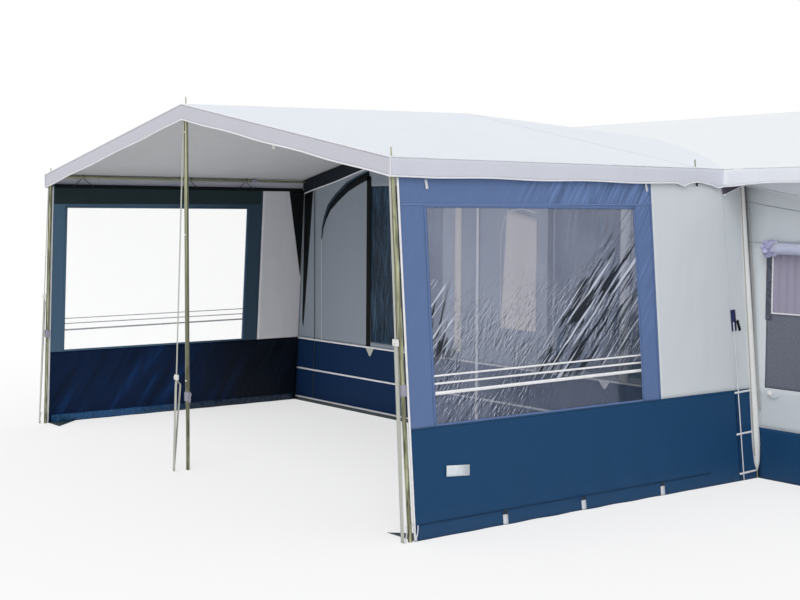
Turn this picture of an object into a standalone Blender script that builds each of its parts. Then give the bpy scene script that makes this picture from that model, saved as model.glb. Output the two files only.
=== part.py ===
"""Caravan awning with a gabled canopy in front of it, in metres, +Z up.

X runs along the awning, Y from the open front of the canopy towards the caravan.
The origin lies on the ground, at the foot of the canopy's centre upright.
Two roofs of cloth hang on steel poles: the canopy's gable roof on three telescopic
uprights, and the main roof, which carries the gable on to a valley and then rises
to the caravan. Walls of cloth and clear film hang below them.
"""
import math

import bmesh
import bpy
from mathutils import Matrix, Vector

# Cloth, film and clearances
CLOTH = 0.004
FILM = 0.003
SEAT = 0.0003
RUN = 0.0005
MERGE = 0.00001

# The canopy in front
CANOPY_DEPTH = 2.32
HALF_TOP = 2.165
HALF_FOOT = 2.335
EAVE_Z = 1.935
GABLE_RISE = 0.40
RIDGE_CLIMB = 0.055
VALANCE_GAP = 0.014
ROOF_SAG = 0.014
VALANCE_DROP = 0.093
VALANCE_WAVE = 0.004
WALL_DROP = 0.070

# The main awning behind
RETURN_DEPTH = 0.45
OUTER_OVERHANG = 0.22
MAIN_DEPTH = 2.33
END_REACH = 1.115
RAIL_RISE = 0.555
RIDGE_FALL_SHARE = 0.05

# Colour bands, windows and the cloth left round them
BAND_TOP = 0.56
SIDE_WINDOW_FRONT_HEM = 0.115
SIDE_WINDOW_REAR_HEM = 0.565
SIDE_WINDOW_SILL_HEM = 0.015
SIDE_WINDOW_HEAD_HEM = 0.175
CENTRE_WINDOW_LEFT_HEM = 0.975
CENTRE_WINDOW_RIGHT_HEM = 0.295
CENTRE_WINDOW_WIDTH = 0.920
CENTRE_WINDOW_SILL_HEM = 0.040
CENTRE_WINDOW_HEAD_HEM = 0.061
OUTER_BAND_TOP = 0.32
OUTER_WINDOW_LEFT_HEM = 0.035
OUTER_WINDOW_RIGHT_HEM = 0.160
OUTER_WINDOW_SILL_HEM = 0.255
OUTER_WINDOW_HEAD_HEM = 0.461
BLIND_RADIUS = 0.036
BLIND_OVERLAP = 0.020
BLIND_SAG = 0.008

# Folds of the cloth at the hem of the canopy's side walls
FOLD_DEPTH = 0.010
FOLD_PITCH = 0.31
FLAP_LENGTH = 0.24
FLAP_WIDTH = 0.22

# Poles
POST_RADIUS = 0.014
POST_INSET = 0.008
POST_BORE = 0.0125
LEG_WALL = 0.0012
LEG_OVERLAP = 0.42
PIN_RADIUS = 0.004
PIN_RISE = 0.052
PIN_HOLE_GAP = 0.001
PLUG_DEPTH = 0.030
NECK = 0.006
POLE_RADIUS = 0.0125
POLE_BORE = 0.011
ROD_WALL = 0.0012
ROD_OVERLAP = 0.34
MAIN_POLE_RADIUS = 0.013
MAIN_POLE_BORE = 0.0118
EAVE_JOINT_SHARE = 0.776
RIDGE_JOINT_SHARE = 0.54
CAP_CLEARANCE = 0.0015

# Clamps on the uprights, one height for each
CENTRE_CLAMP_Z = 0.475
LEFT_CLAMP_Z = 0.71
RIGHT_CLAMP_Z = 0.76
COLLAR_RADIUS = 0.0205
COLLAR_HEIGHT = 0.058
COLLAR_ROUND = 0.003
LUG_THICKNESS = 0.003
LUG_REACH = 0.035
LUG_HEIGHT = 0.018
LUG_RISE = 0.004
LEVER_WIDTH = 0.010
LEVER_GAP = 0.0006
LEVER_LENGTH = 0.050
LEVER_THICKNESS = 0.005
ARM_SHARE = 0.8
HUB_RADIUS = 0.0055
HINGE_PIN_RADIUS = 0.0025
HINGE_PIN_GAP = 0.0004
PIVOT_REACH = 0.0285
EAVE_CLAMP_LENGTH = 0.045
EAVE_CLAMP_RADIUS = 0.0165
KNOB_RADIUS = 0.009
KNOB_LENGTH = 0.030

# Storm straps, from the uprights' tops to the ground
STRAP_WIDTH = 0.025
STRAP_THICKNESS = 0.0016
STRAP_LOOP = 0.016
STRAP_TOP_DROP = 0.030
CENTRE_STRAP_REACH = 0.086
SIDE_STRAP_REACH = 0.032
CENTRE_BUCKLE_Z = 0.585
SIDE_BUCKLE_Z = 0.985
BUCKLE_WIDTH = 0.038
BUCKLE_DEPTH = 0.012
BUCKLE_HEIGHT = 0.034
BUCKLE_KNOB_RADIUS = 0.008

# Counts
ROUND_SIDES = 16
KNOB_SIDES = 12
ROOF_STEPS_ACROSS = 10
ROOF_STEPS_ALONG = 8
FRONT_STEPS = 2
GABLE_STEPS = 5
SLOPE_STEPS = 4
BAND_STEPS = 30
VALANCE_STEPS = 8

# Places that follow from the sizes above
APEX_Z = EAVE_Z + GABLE_RISE
RIDGE_REAR_Z = APEX_Z + RIDGE_CLIMB
LEAN = (HALF_FOOT - HALF_TOP) / EAVE_Z
VALANCE_REACH = VALANCE_DROP + VALANCE_WAVE + CLOTH + SEAT
ROOF_OVERHANG = CLOTH + VALANCE_GAP + abs(LEAN) * VALANCE_REACH
ROOF_HALF = HALF_TOP + ROOF_OVERHANG
OUTER_Y = CANOPY_DEPTH + RETURN_DEPTH
ROOF_FRONT_Y = OUTER_Y - OUTER_OVERHANG
REAR_Y = OUTER_Y + MAIN_DEPTH
END_X = HALF_FOOT + END_REACH
MAIN_SLOPE = RAIL_RISE / (REAR_Y - ROOF_FRONT_Y)
POST_Y = 0.0
FRONT_Y = POST_Y - 2 * POST_RADIUS - CLOTH
SAG_START_Y = POST_Y + 2 * POST_RADIUS
WALL_FRONT_Y = POST_Y + COLLAR_RADIUS + SEAT
MAIN_POST_Y = CANOPY_DEPTH + SEAT + CLOTH + SEAT + POST_RADIUS
MAIN_POST_INSET = CLOTH + SEAT + POST_RADIUS
POLE_REAR_Y = CANOPY_DEPTH - CLOTH - SEAT
WALL_HEAD_Z = EAVE_Z - CLOTH - SEAT
WALL_TOP_Z = EAVE_Z - WALL_DROP
WALL_NOTCH_Z = WALL_HEAD_Z - VALANCE_DROP - VALANCE_WAVE - SEAT
LEG_RADIUS = POST_BORE - RUN
ROD_RADIUS = POLE_BORE - RUN


# Colours and finishes

def make_material(name, colour, roughness, metallic=0.0, alpha=1.0):
    """A plain Principled material."""
    material = bpy.data.materials.new(name)
    material.use_nodes = True
    shader = material.node_tree.nodes["Principled BSDF"]
    shader.inputs["Base Color"].default_value = (*colour, 1.0)
    shader.inputs["Roughness"].default_value = roughness
    shader.inputs["Metallic"].default_value = metallic
    shader.inputs["Alpha"].default_value = alpha
    return material


for leftover in list(bpy.data.objects):
    bpy.data.objects.remove(leftover, do_unlink=True)

ROOF_CLOTH = make_material("roof_cloth", (0.79, 0.80, 0.90), 0.6)
VALANCE_CLOTH = make_material("valance_cloth", (0.52, 0.51, 0.54), 0.7)
WALL_CLOTH = make_material("wall_cloth", (0.13, 0.19, 0.38), 0.6)
BAND_CLOTH = make_material("band_cloth", (0.012, 0.055, 0.13), 0.5)
GREY_CLOTH = make_material("grey_cloth", (0.52, 0.56, 0.58), 0.7)
CLEAR_FILM = make_material("clear_film", (0.75, 0.80, 0.85), 0.08, alpha=0.35)
TINTED_FILM = make_material("tinted_film", (0.05, 0.07, 0.09), 0.08, alpha=0.6)
BLIND_CLOTH = make_material("blind_cloth", (0.40, 0.38, 0.62), 0.6)
STEEL = make_material("zinc_steel", (0.46, 0.47, 0.30), 0.35, metallic=0.9)
CLAMP_PLASTIC = make_material("clamp_plastic", (0.42, 0.42, 0.47), 0.5)
STRAP_WEB = make_material("strap_web", (0.60, 0.60, 0.62), 0.7)
BUCKLE_PLASTIC = make_material("buckle_plastic", (0.85, 0.85, 0.85), 0.4)
FLAP_CLOTH = make_material("flap_cloth", (0.02, 0.06, 0.07), 0.7)


# Shapes of the roofs

def half_width(z):
    """Outer face of the side walls, which lean out towards their feet."""
    return HALF_FOOT - LEAN * z


def ridge_z(y):
    """The ridge rises to the main awning, then falls to the valley's head."""
    if y <= CANOPY_DEPTH:
        return APEX_Z + (RIDGE_REAR_Z - APEX_Z) * y / CANOPY_DEPTH
    return RIDGE_REAR_Z - RIDGE_FALL_SHARE * (y - CANOPY_DEPTH)


def gable_z(x, y):
    """Top of the gable roof: straight from the ridge down to the eaves."""
    return ridge_z(y) - (ridge_z(y) - EAVE_Z) * abs(x) / ROOF_HALF


def main_z(y):
    """Top of the main roof's plain slope, up to the caravan's rail."""
    return EAVE_Z + MAIN_SLOPE * (y - ROOF_FRONT_Y)


def valley_y(x):
    """Where the gable roof meets the main roof's plain slope."""
    share = max(1 - abs(x) / ROOF_HALF, 0.0)
    rise = RIDGE_REAR_Z - EAVE_Z + RIDGE_FALL_SHARE * CANOPY_DEPTH
    return (share * rise + MAIN_SLOPE * ROOF_FRONT_Y) / (MAIN_SLOPE + share * RIDGE_FALL_SHARE)


def canopy_roof_z(x, y):
    """Gable roof with the sag of each slope between its poles."""
    along = min(max((y - SAG_START_Y) / (CANOPY_DEPTH - SAG_START_Y), 0.0), 1.0)
    across = min(abs(x) / ROOF_HALF, 1.0)
    sag = ROOF_SAG * math.sin(math.pi * along) * math.sin(math.pi * across)
    return gable_z(x, y) - sag


def main_roof_z(x, y):
    """The higher of the gable and the plain slope; beside the gable, the slope."""
    if abs(x) > ROOF_HALF + SEAT:
        return main_z(y)
    return max(gable_z(x, y), main_z(y))


# Building tools

def evenly(start, end, steps):
    """Steps + 1 values from start to end."""
    return [start + (end - start) * k / steps for k in range(steps + 1)]


def finish(name, mesh, material, origin=(0.0, 0.0, 0.0), smooth=False):
    """Puts a mesh in world places into an object whose origin lies at origin."""
    mesh.transform(Matrix.Translation(-Vector(origin)))
    if smooth:
        mesh.shade_smooth()
        mesh.set_sharp_from_angle(angle=math.radians(40))
    mesh.materials.append(material)
    thing = bpy.data.objects.new(name, mesh)
    thing.location = origin
    bpy.context.scene.collection.objects.link(thing)
    return thing


def closed_mesh(name, points, faces):
    """A mesh from points and faces, its faces turned outwards.

    Points that coincide are merged, which closes a cell that narrows to a point.
    """
    mesh = bpy.data.meshes.new(name)
    mesh.from_pydata([tuple(p) for p in points], [], faces)
    work = bmesh.new()
    work.from_mesh(mesh)
    bmesh.ops.remove_doubles(work, verts=work.verts, dist=MERGE)
    bmesh.ops.recalc_face_normals(work, faces=work.faces)
    work.to_mesh(mesh)
    work.free()
    return mesh


def sheet(name, stations, levels, outer, inner, material, keep=None):
    """A closed sheet of cloth between its outer and inner faces.

    outer and inner give the point at a station and a level; a cell that keep
    turns down is left out, as a window's opening is.
    """
    points, faces, number = [], [], {}

    def corner(i, j, side):
        key = (i, j, side)
        if key not in number:
            number[key] = len(points)
            place = (outer, inner)[side]
            points.append(place(stations[i], levels[j]))
        return number[key]

    cells = {(i, j) for i in range(len(stations) - 1) for j in range(len(levels) - 1)
             if keep is None or keep(i, j)}
    for i, j in sorted(cells):
        ring = [(i, j), (i + 1, j), (i + 1, j + 1), (i, j + 1)]
        faces.append([corner(a, b, 0) for a, b in ring])
        faces.append([corner(a, b, 1) for a, b in reversed(ring)])
        beside = [(i, j - 1), (i + 1, j), (i, j + 1), (i - 1, j)]
        for k, cell in enumerate(beside):
            if cell in cells:
                continue
            (a, b), (c, d) = ring[k], ring[(k + 1) % 4]
            faces.append([corner(c, d, 0), corner(a, b, 0), corner(a, b, 1), corner(c, d, 1)])
    return finish(name, closed_mesh(name, points, faces), material)


def ring_points(centre, along, radius, sides=ROUND_SIDES):
    """A ring of points round an axis."""
    along = Vector(along).normalized()
    start = Vector((0.0, 1.0, 0.0)) if abs(along.y) < abs(along.z) + abs(along.x) \
        else Vector((1.0, 0.0, 0.0))
    first = (start - along * start.dot(along)).normalized()
    second = along.cross(first)
    turn = 2 * math.pi / sides
    return [Vector(centre) + radius * (math.cos(k * turn) * first + math.sin(k * turn) * second)
            for k in range(sides)]


def turned(name, foot, along, profile, material, sides=ROUND_SIDES, origin=(0.0, 0.0, 0.0)):
    """A closed profile of (radius, height) pairs turned round an axis from foot."""
    along = Vector(along).normalized()
    points, rings, faces = [], [], []
    for radius, height in profile:
        centre = Vector(foot) + along * height
        if radius == 0:
            rings.append([len(points)] * sides)
            points.append(centre)
        else:
            rings.append(list(range(len(points), len(points) + sides)))
            points += ring_points(centre, along, radius, sides)
    count = len(profile)
    open_profile = profile[0][0] == 0 and profile[-1][0] == 0
    for r in range(count - 1 if open_profile else count):
        low, high = rings[r], rings[(r + 1) % count]
        for k in range(sides):
            n = (k + 1) % sides
            face = [low[k], low[n], high[n], high[k]]
            face = list(dict.fromkeys(face))
            faces.append(face)
    return finish(name, closed_mesh(name, points, faces), material, origin, smooth=True)


def tube(name, start, end, radius, bore, material):
    """A straight tube, open at both ends."""
    start, end = Vector(start), Vector(end)
    length = (end - start).length
    profile = [(radius, 0.0), (radius, length), (bore, length), (bore, 0.0)]
    return turned(name, start, end - start, profile, material)


def bent_tube(name, route, radius, bore, material):
    """A tube along a route with mitred bends, open at both ends."""
    route = [Vector(p) for p in route]
    points, faces, rings = [], [], []
    for k, place in enumerate(route):
        before = (place - route[k - 1]).normalized() if k else (route[1] - place).normalized()
        after = (route[k + 1] - place).normalized() if k + 1 < len(route) else before
        mitre = (before + after).normalized()
        for size in (radius, bore):
            ring = []
            for p in ring_points(place, before, size):
                reach = (place - p).dot(mitre) / before.dot(mitre)
                ring.append(len(points))
                points.append(p + before * reach)
            rings.append(ring)
    outer, inner = rings[0::2], rings[1::2]
    for n in range(ROUND_SIDES):
        m = (n + 1) % ROUND_SIDES
        for k in range(len(route) - 1):
            faces.append([outer[k][n], outer[k][m], outer[k + 1][m], outer[k + 1][n]])
            faces.append([inner[k][m], inner[k][n], inner[k + 1][n], inner[k + 1][m]])
        faces.append([outer[0][m], outer[0][n], inner[0][n], inner[0][m]])
        faces.append([outer[-1][n], outer[-1][m], inner[-1][m], inner[-1][n]])
    return finish(name, closed_mesh(name, points, faces), material, smooth=True)


def block(name, low, high, material):
    """A box between two corners."""
    (a, b, c), (d, e, f) = low, high
    points = [(x, y, z) for z in (c, f) for y in (b, e) for x in (a, d)]
    faces = [(0, 1, 3, 2), (4, 5, 7, 6), (0, 1, 5, 4), (2, 3, 7, 6), (0, 2, 6, 4), (1, 3, 7, 5)]
    return finish(name, closed_mesh(name, points, faces), material)


def combine(target, tool, operation):
    """Adds a Boolean whose tool is a guide, left out of the part."""
    tool.hide_render = True
    tool.display_type = "WIRE"
    step = target.modifiers.new(operation.lower(), "BOOLEAN")
    step.operation = operation
    step.object = tool


def seat_on_post(start, along, radius, post_point, post_along, post_radius):
    """How far along a pole's end face must lie for its rim to meet a post.

    The rim's nearest point then lies SEAT from the post's surface.
    """
    start, along = Vector(start), Vector(along).normalized()
    post_point, post_along = Vector(post_point), Vector(post_along).normalized()

    def rim_gap(reach):
        gaps = []
        for p in ring_points(start + along * reach, along, radius):
            offset = p - post_point
            gaps.append((offset - post_along * offset.dot(post_along)).length)
        return min(gaps) - post_radius

    low, high = 0.0, post_radius + 4 * radius
    for _ in range(40):
        middle = (low + high) / 2
        if rim_gap(middle) < SEAT:
            low = middle
        else:
            high = middle
    return high


# Roofs

def canopy_roof():
    """Two sagging slopes from the ridge to the eaves, with the pins' holes."""
    along = [FRONT_Y] + evenly(SAG_START_Y, CANOPY_DEPTH, ROOF_STEPS_ALONG)
    roof = sheet("canopy_roof", gable_stations(), along,
                 lambda x, y: (x, y, canopy_roof_z(x, y)),
                 lambda x, y: (x, y, canopy_roof_z(x, y) - CLOTH), ROOF_CLOTH)
    for side in (-1, 0, 1):
        pin_hole(roof, *post_axis(side, POST_Y, POST_INSET))


def gable_stations():
    """Places across the gable, the same on both sides of the ridge."""
    across = evenly(-ROOF_HALF, 0.0, ROOF_STEPS_ACROSS)
    return across + [-x for x in reversed(across[:-1])]


def pin_hole(roof, foot, along):
    """Cuts the hole that an upright's pin passes through."""
    radius = PIN_RADIUS + PIN_HOLE_GAP
    reach = ROOF_SAG + PIN_RISE
    middle = post_top(foot, along)
    low, high = middle - reach, middle + reach
    profile = [(0.0, low), (radius, low), (radius, high), (0.0, high)]
    cutter = turned("pin_cutter", foot, along, profile, STEEL, KNOB_SIDES)
    combine(roof, cutter, "DIFFERENCE")


def main_roof():
    """The gable carried back to its valleys, and the slope up to the rail.

    Rows of points follow the valleys, so that each roof plane ends on them.
    """
    across = gable_stations() + evenly(ROOF_HALF, END_X + ROOF_OVERHANG, 2)[1:]
    front = CANOPY_DEPTH + SEAT
    rows = evenly(0, FRONT_STEPS + GABLE_STEPS + SLOPE_STEPS, FRONT_STEPS + GABLE_STEPS + SLOPE_STEPS)

    def row_y(x, row):
        if row <= FRONT_STEPS:
            return front + (ROOF_FRONT_Y - front) * row / FRONT_STEPS
        row -= FRONT_STEPS
        if row <= GABLE_STEPS:
            return ROOF_FRONT_Y + (valley_y(x) - ROOF_FRONT_Y) * row / GABLE_STEPS
        return valley_y(x) + (REAR_Y - valley_y(x)) * (row - GABLE_STEPS) / SLOPE_STEPS

    def place(drop):
        def at(x, row):
            y = row_y(x, row)
            return (x, y, main_roof_z(x, y) - drop)
        return at

    roof = sheet("main_roof", across, rows, place(0.0), place(CLOTH), ROOF_CLOTH,
                 lambda i, j: across[i + 1] <= ROOF_HALF or j >= FRONT_STEPS)
    for side in (-1, 1):
        pin_hole(roof, *post_axis(side, MAIN_POST_Y, MAIN_POST_INSET))


# Valances

def hanging_strip(name, route, roof_top, drop, wave, material):
    """A strip of cloth hanging from the roof's edge along a route of corners.

    The route gives the outer face's corners, the cloth lies to its left.
    """
    corners = [Vector(p) for p in route]
    stations = []
    for k in range(len(corners) - 1):
        for n in range(VALANCE_STEPS):
            stations.append(k + n / VALANCE_STEPS)
    stations.append(len(corners) - 1)
    lefts = []
    for k in range(len(corners) - 1):
        run = (corners[k + 1] - corners[k]).normalized()
        lefts.append(Vector((-run.y, run.x)))

    def place(station, depth):
        k = min(int(station), len(corners) - 2)
        share = station - k
        point = corners[k].lerp(corners[k + 1], share)
        if depth == 0:
            return point
        before = lefts[k - 1] if k else lefts[0]
        after = lefts[min(k + 1, len(lefts) - 1)]
        near = corners[k] + mitre(before, lefts[k], depth)
        far = corners[k + 1] + mitre(lefts[k], after, depth)
        return near.lerp(far, share)

    def mitre(one, two, depth):
        middle = (one + two).normalized()
        return middle * (depth / middle.dot(one))

    def outer(station, level):
        point = place(station, 0.0)
        return hang(point, point, station, level)

    def inner(station, level):
        point = place(station, CLOTH)
        return hang(point, place(station, 0.0), station, level)

    def hang(point, face, station, level):
        top = min(roof_top(*point), roof_top(*face)) - CLOTH - SEAT
        ripple = wave * math.sin(math.pi * 2 * station * VALANCE_STEPS / 3)
        return (*point, top - (drop + ripple) * (1 - level))

    sheet(name, stations, [0.0, 1.0], outer, inner, material)


def canopy_valance():
    """The strip round the canopy's two sides and its gable front."""
    route = [(-ROOF_HALF, POLE_REAR_Y), (-ROOF_HALF, FRONT_Y), (0.0, FRONT_Y),
             (ROOF_HALF, FRONT_Y), (ROOF_HALF, POLE_REAR_Y)]
    hanging_strip("canopy_valance", route, gable_z, VALANCE_DROP, VALANCE_WAVE, VALANCE_CLOTH)


def main_valance():
    """The strip round the main roof's free edges, from its left end to its right."""
    front = CANOPY_DEPTH - CLOTH
    end = END_X + ROOF_OVERHANG
    route = [(-ROOF_HALF, REAR_Y), (-ROOF_HALF, ROOF_FRONT_Y), (-ROOF_HALF, front),
             (0.0, front), (ROOF_HALF, front), (ROOF_HALF, ROOF_FRONT_Y),
             (end, ROOF_FRONT_Y), (end, REAR_Y)]
    hanging_strip("main_valance", route, main_roof_z, VALANCE_DROP, 0.0, VALANCE_CLOTH)


# Walls of the canopy

def leaning(side, inset):
    """A place on a side wall: station is y, level is z."""
    return lambda y, z: (side * (half_width(z) - inset), y, z)


def side_wall(name, side):
    """Upper cloth with its window opening, the window film and the lower band."""
    window_front = WALL_FRONT_Y + SIDE_WINDOW_FRONT_HEM
    window_rear = CANOPY_DEPTH - SIDE_WINDOW_REAR_HEM
    sill, head = BAND_TOP + SIDE_WINDOW_SILL_HEM, WALL_TOP_Z - SIDE_WINDOW_HEAD_HEM
    stations = [WALL_FRONT_Y, window_front, window_rear, POLE_REAR_Y, CANOPY_DEPTH]
    levels = [BAND_TOP + SEAT, sill, head, WALL_NOTCH_Z, WALL_TOP_Z]
    sheet(f"{name}_wall_upper", stations, levels, leaning(side, 0.0), leaning(side, CLOTH),
          WALL_CLOTH, lambda i, j: (i, j) not in ((1, 1), (3, 3)))
    sheet(f"{name}_wall_window", [window_front + SEAT, window_rear - SEAT],
          [sill + SEAT, head - SEAT], leaning(side, 0.0), leaning(side, FILM), CLEAR_FILM)

    def folded(inset):
        return lambda y, z: (side * (half_width(z) - inset + hem_shift(y) * (1 - z / BAND_TOP)),
                             y, z)

    sheet(f"{name}_wall_band", evenly(WALL_FRONT_Y, CANOPY_DEPTH, BAND_STEPS),
          evenly(0.0, BAND_TOP, 4), folded(0.0), folded(CLOTH), BAND_CLOTH)


def hem_shift(y):
    """How far the hem of a side wall is drawn inwards by its folds."""
    swell = math.sin(math.pi * (y - WALL_FRONT_Y) / (CANOPY_DEPTH - WALL_FRONT_Y))
    return FOLD_DEPTH * swell * (math.sin(2 * math.pi * y / FOLD_PITCH) - 1) / 2


def corner_flap(name, side):
    """A triangle of mud flap lying on the ground inside a front corner."""
    far = WALL_FRONT_Y + FLAP_LENGTH
    stations = evenly(WALL_FRONT_Y, CANOPY_DEPTH, BAND_STEPS)
    hem = min(hem_shift(y) for y in stations if y <= far + FOLD_PITCH / 2)
    edge = half_width(CLOTH) - CLOTH + hem - SEAT
    outline = [(edge, WALL_FRONT_Y), (edge - FLAP_WIDTH, WALL_FRONT_Y), (edge, far)]
    points = [(side * x, y, z) for z in (0.0, CLOTH) for x, y in outline]
    faces = [(0, 1, 2), (3, 4, 5), (0, 1, 4, 3), (1, 2, 5, 4), (2, 0, 3, 5)]
    finish(name, closed_mesh(name, points, faces), FLAP_CLOTH)


# Walls of the main awning

def centre_wall():
    """The wall that closes the canopy's rear: grey cloth, two panes, a band."""
    face = CANOPY_DEPTH + SEAT
    left = CENTRE_WINDOW_LEFT_HEM - HALF_TOP
    right = HALF_TOP - CENTRE_WINDOW_RIGHT_HEM - CENTRE_WINDOW_WIDTH
    sill = BAND_TOP + CENTRE_WINDOW_SILL_HEM
    head = WALL_HEAD_Z - CENTRE_WINDOW_HEAD_HEM
    stations = [-HALF_FOOT, left, left + CENTRE_WINDOW_WIDTH, 0.0, right,
                right + CENTRE_WINDOW_WIDTH, HALF_FOOT]
    levels = [BAND_TOP + SEAT, sill, head, RIDGE_REAR_Z]

    def place(depth):
        def at(x, level):
            z = level
            if abs(x) == HALF_FOOT:
                z = min(level, WALL_HEAD_Z)
                x = math.copysign(half_width(z) - CLOTH - SEAT, x)
            elif level == RIDGE_REAR_Z:
                z = gable_z(x, face) - CLOTH - SEAT
            return (x, face + depth, z)
        return at

    sheet("centre_wall_upper", stations, levels, place(0.0), place(CLOTH), GREY_CLOTH,
          lambda i, j: j != 1 or i not in (1, 4))
    for name, start in (("centre_wall_left_window", left), ("centre_wall_right_window", right)):
        sheet(name, [start + SEAT, start + CENTRE_WINDOW_WIDTH - SEAT],
              [sill + SEAT, head - SEAT], place(0.0), place(FILM), TINTED_FILM)
    sheet("centre_wall_band", [-HALF_FOOT, HALF_FOOT], [0.0, BAND_TOP],
          place(0.0), place(CLOTH), BAND_CLOTH)


def outer_window():
    """The outer front window: its left and right edges, sill and head."""
    return (HALF_FOOT + OUTER_WINDOW_LEFT_HEM, END_X - OUTER_WINDOW_RIGHT_HEM,
            OUTER_BAND_TOP + OUTER_WINDOW_SILL_HEM, WALL_HEAD_Z - OUTER_WINDOW_HEAD_HEM)


def outer_wall():
    """The return beside the canopy and the front wall to its right."""
    left, right, sill, head = outer_window()
    end = END_X - CLOTH - SEAT

    def place(depth):
        def at(station, z):
            side = half_width(z) - depth
            spots = {"start": (side, CANOPY_DEPTH + SEAT), "corner": (side, OUTER_Y + depth),
                     "seam": (half_width(z) + SEAT, OUTER_Y + depth),
                     "left": (left, OUTER_Y + depth), "right": (right, OUTER_Y + depth),
                     "end": (end, OUTER_Y + depth)}
            return (*spots[station], z)
        return at

    stations = ["start", "corner", "seam", "left", "right", "end"]
    under_roof = main_z(OUTER_Y) - CLOTH - SEAT
    levels = [OUTER_BAND_TOP + SEAT, BAND_TOP + SEAT, sill, head, WALL_HEAD_Z, under_roof]
    sheet("outer_wall_upper", stations, levels, place(0.0), place(CLOTH), GREY_CLOTH,
          lambda i, j: (i, j) not in ((0, 0), (1, 0), (3, 2), (0, 4), (1, 4)))
    sheet("outer_wall_band", ["start", "corner", "end"], [0.0, OUTER_BAND_TOP, BAND_TOP],
          place(0.0), place(CLOTH), BAND_CLOTH, lambda i, j: (i, j) != (1, 1))

    def pane(depth):
        return lambda x, z: (x, OUTER_Y + depth, z)

    sheet("outer_wall_window", [left + SEAT, right - SEAT], [sill + SEAT, head - SEAT],
          pane(0.0), pane(FILM), TINTED_FILM)


def blind_roll():
    """The outer window's blind, rolled up over it and hanging a little."""
    left, right, _, head = outer_window()
    centre_y = OUTER_Y - SEAT - BLIND_RADIUS
    route = []
    for share in evenly(0.0, 1.0, 6):
        drop = BLIND_OVERLAP + BLIND_SAG * math.sin(math.pi * share)
        route.append(Vector((left + (right - left) * share, centre_y, head - drop)))
    points, faces = [], []
    for place in route:
        points += ring_points(place, (1.0, 0.0, 0.0), BLIND_RADIUS, KNOB_SIDES)
    for k in range(len(route) - 1):
        for n in range(KNOB_SIDES):
            m = (n + 1) % KNOB_SIDES
            a, b = k * KNOB_SIDES, (k + 1) * KNOB_SIDES
            faces.append([a + n, a + m, b + m, b + n])
    faces.append(list(range(KNOB_SIDES)))
    faces.append(list(range(len(points) - KNOB_SIDES, len(points))))
    finish("blind_roll", closed_mesh("blind_roll", points, faces), BLIND_CLOTH)


def end_walls():
    """The two ends of the main awning, whose tops follow its roof.

    The left end leans out like the canopy's walls up to the eave, then stands upright.
    """
    def top_z(y):
        return max(EAVE_Z, main_z(y)) - CLOTH - SEAT

    def left(depth):
        def at(y, level):
            z = {"foot": 0.0, "eave": WALL_HEAD_Z, "top": top_z(y)}[level]
            return (-(half_width(min(z, WALL_HEAD_Z)) - depth), y, z)
        return at

    def right(depth):
        def at(y, level):
            return (END_X - depth, y, {"foot": 0.0, "top": top_z(y)}[level])
        return at

    sheet("left_end_wall", [CANOPY_DEPTH + SEAT, ROOF_FRONT_Y, REAR_Y],
          ["foot", "eave", "top"], left(0.0), left(CLOTH), GREY_CLOTH)
    sheet("right_end_wall", [OUTER_Y, REAR_Y], ["foot", "top"], right(0.0), right(CLOTH),
          GREY_CLOTH)


# Uprights

def post_axis(side, y, inset):
    """Foot and direction of an upright, inset from its side wall's outer face."""
    foot = Vector((side * (half_width(0.0) - inset), y, 0.0))
    head = Vector((side * (half_width(EAVE_Z) - inset), y, EAVE_Z))
    return foot, (head - foot).normalized()


def post_top(foot, along):
    """Length of an upright up to where its pin starts, just under the cloth."""
    head = foot + along * (EAVE_Z / along.z)
    outer = abs(head.x) + POST_RADIUS if head.x else POST_RADIUS
    return (gable_z(outer, foot.y) - CLOTH - CAP_CLEARANCE) / along.z


def pinned_upright(name, foot, along, bottom):
    """An upright tube from bottom to its pin, with its bore open below."""
    top = post_top(foot, along)
    outside = [(POST_RADIUS, bottom), (POST_RADIUS, top - NECK), (PIN_RADIUS, top),
               (PIN_RADIUS, top + PIN_RISE), (0.0, top + PIN_RISE)]
    bore = [(0.0, top - PLUG_DEPTH), (POST_BORE, top - PLUG_DEPTH), (POST_BORE, bottom)]
    turned(name, foot, along, outside[::-1] + bore[::-1], STEEL)


def canopy_post(name, side, clamp_z):
    """A telescopic upright: tube with its pin, sliding leg with its foot, clamp."""
    foot, along = post_axis(side, POST_Y, POST_INSET)
    clamp = clamp_z / along.z
    pinned_upright(f"{name}_upright", foot, along, clamp)
    lean = LEG_RADIUS * math.hypot(along.x, along.y)
    leg_top = clamp + LEG_OVERLAP
    leg_bore = LEG_RADIUS - LEG_WALL
    plug = lean + PLUG_DEPTH
    leg = [(0.0, lean), (LEG_RADIUS, lean), (LEG_RADIUS, leg_top), (leg_bore, leg_top),
           (leg_bore, plug), (0.0, plug)]
    turned(f"{name}_leg", foot, along, leg, STEEL, origin=foot)
    clamp_collar(name, side, foot, along, clamp)


def clamp_frame(side, foot, along, height):
    """Place of a clamp: x towards its lever, y across, z up the upright."""
    reach = Vector((-1.0 if side > 0 else 1.0, 0.0, 0.0))
    reach = (reach - along * reach.dot(along)).normalized()
    frame = Matrix((reach, along.cross(reach), along)).transposed().to_4x4()
    frame.translation = foot + along * height
    return frame


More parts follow.
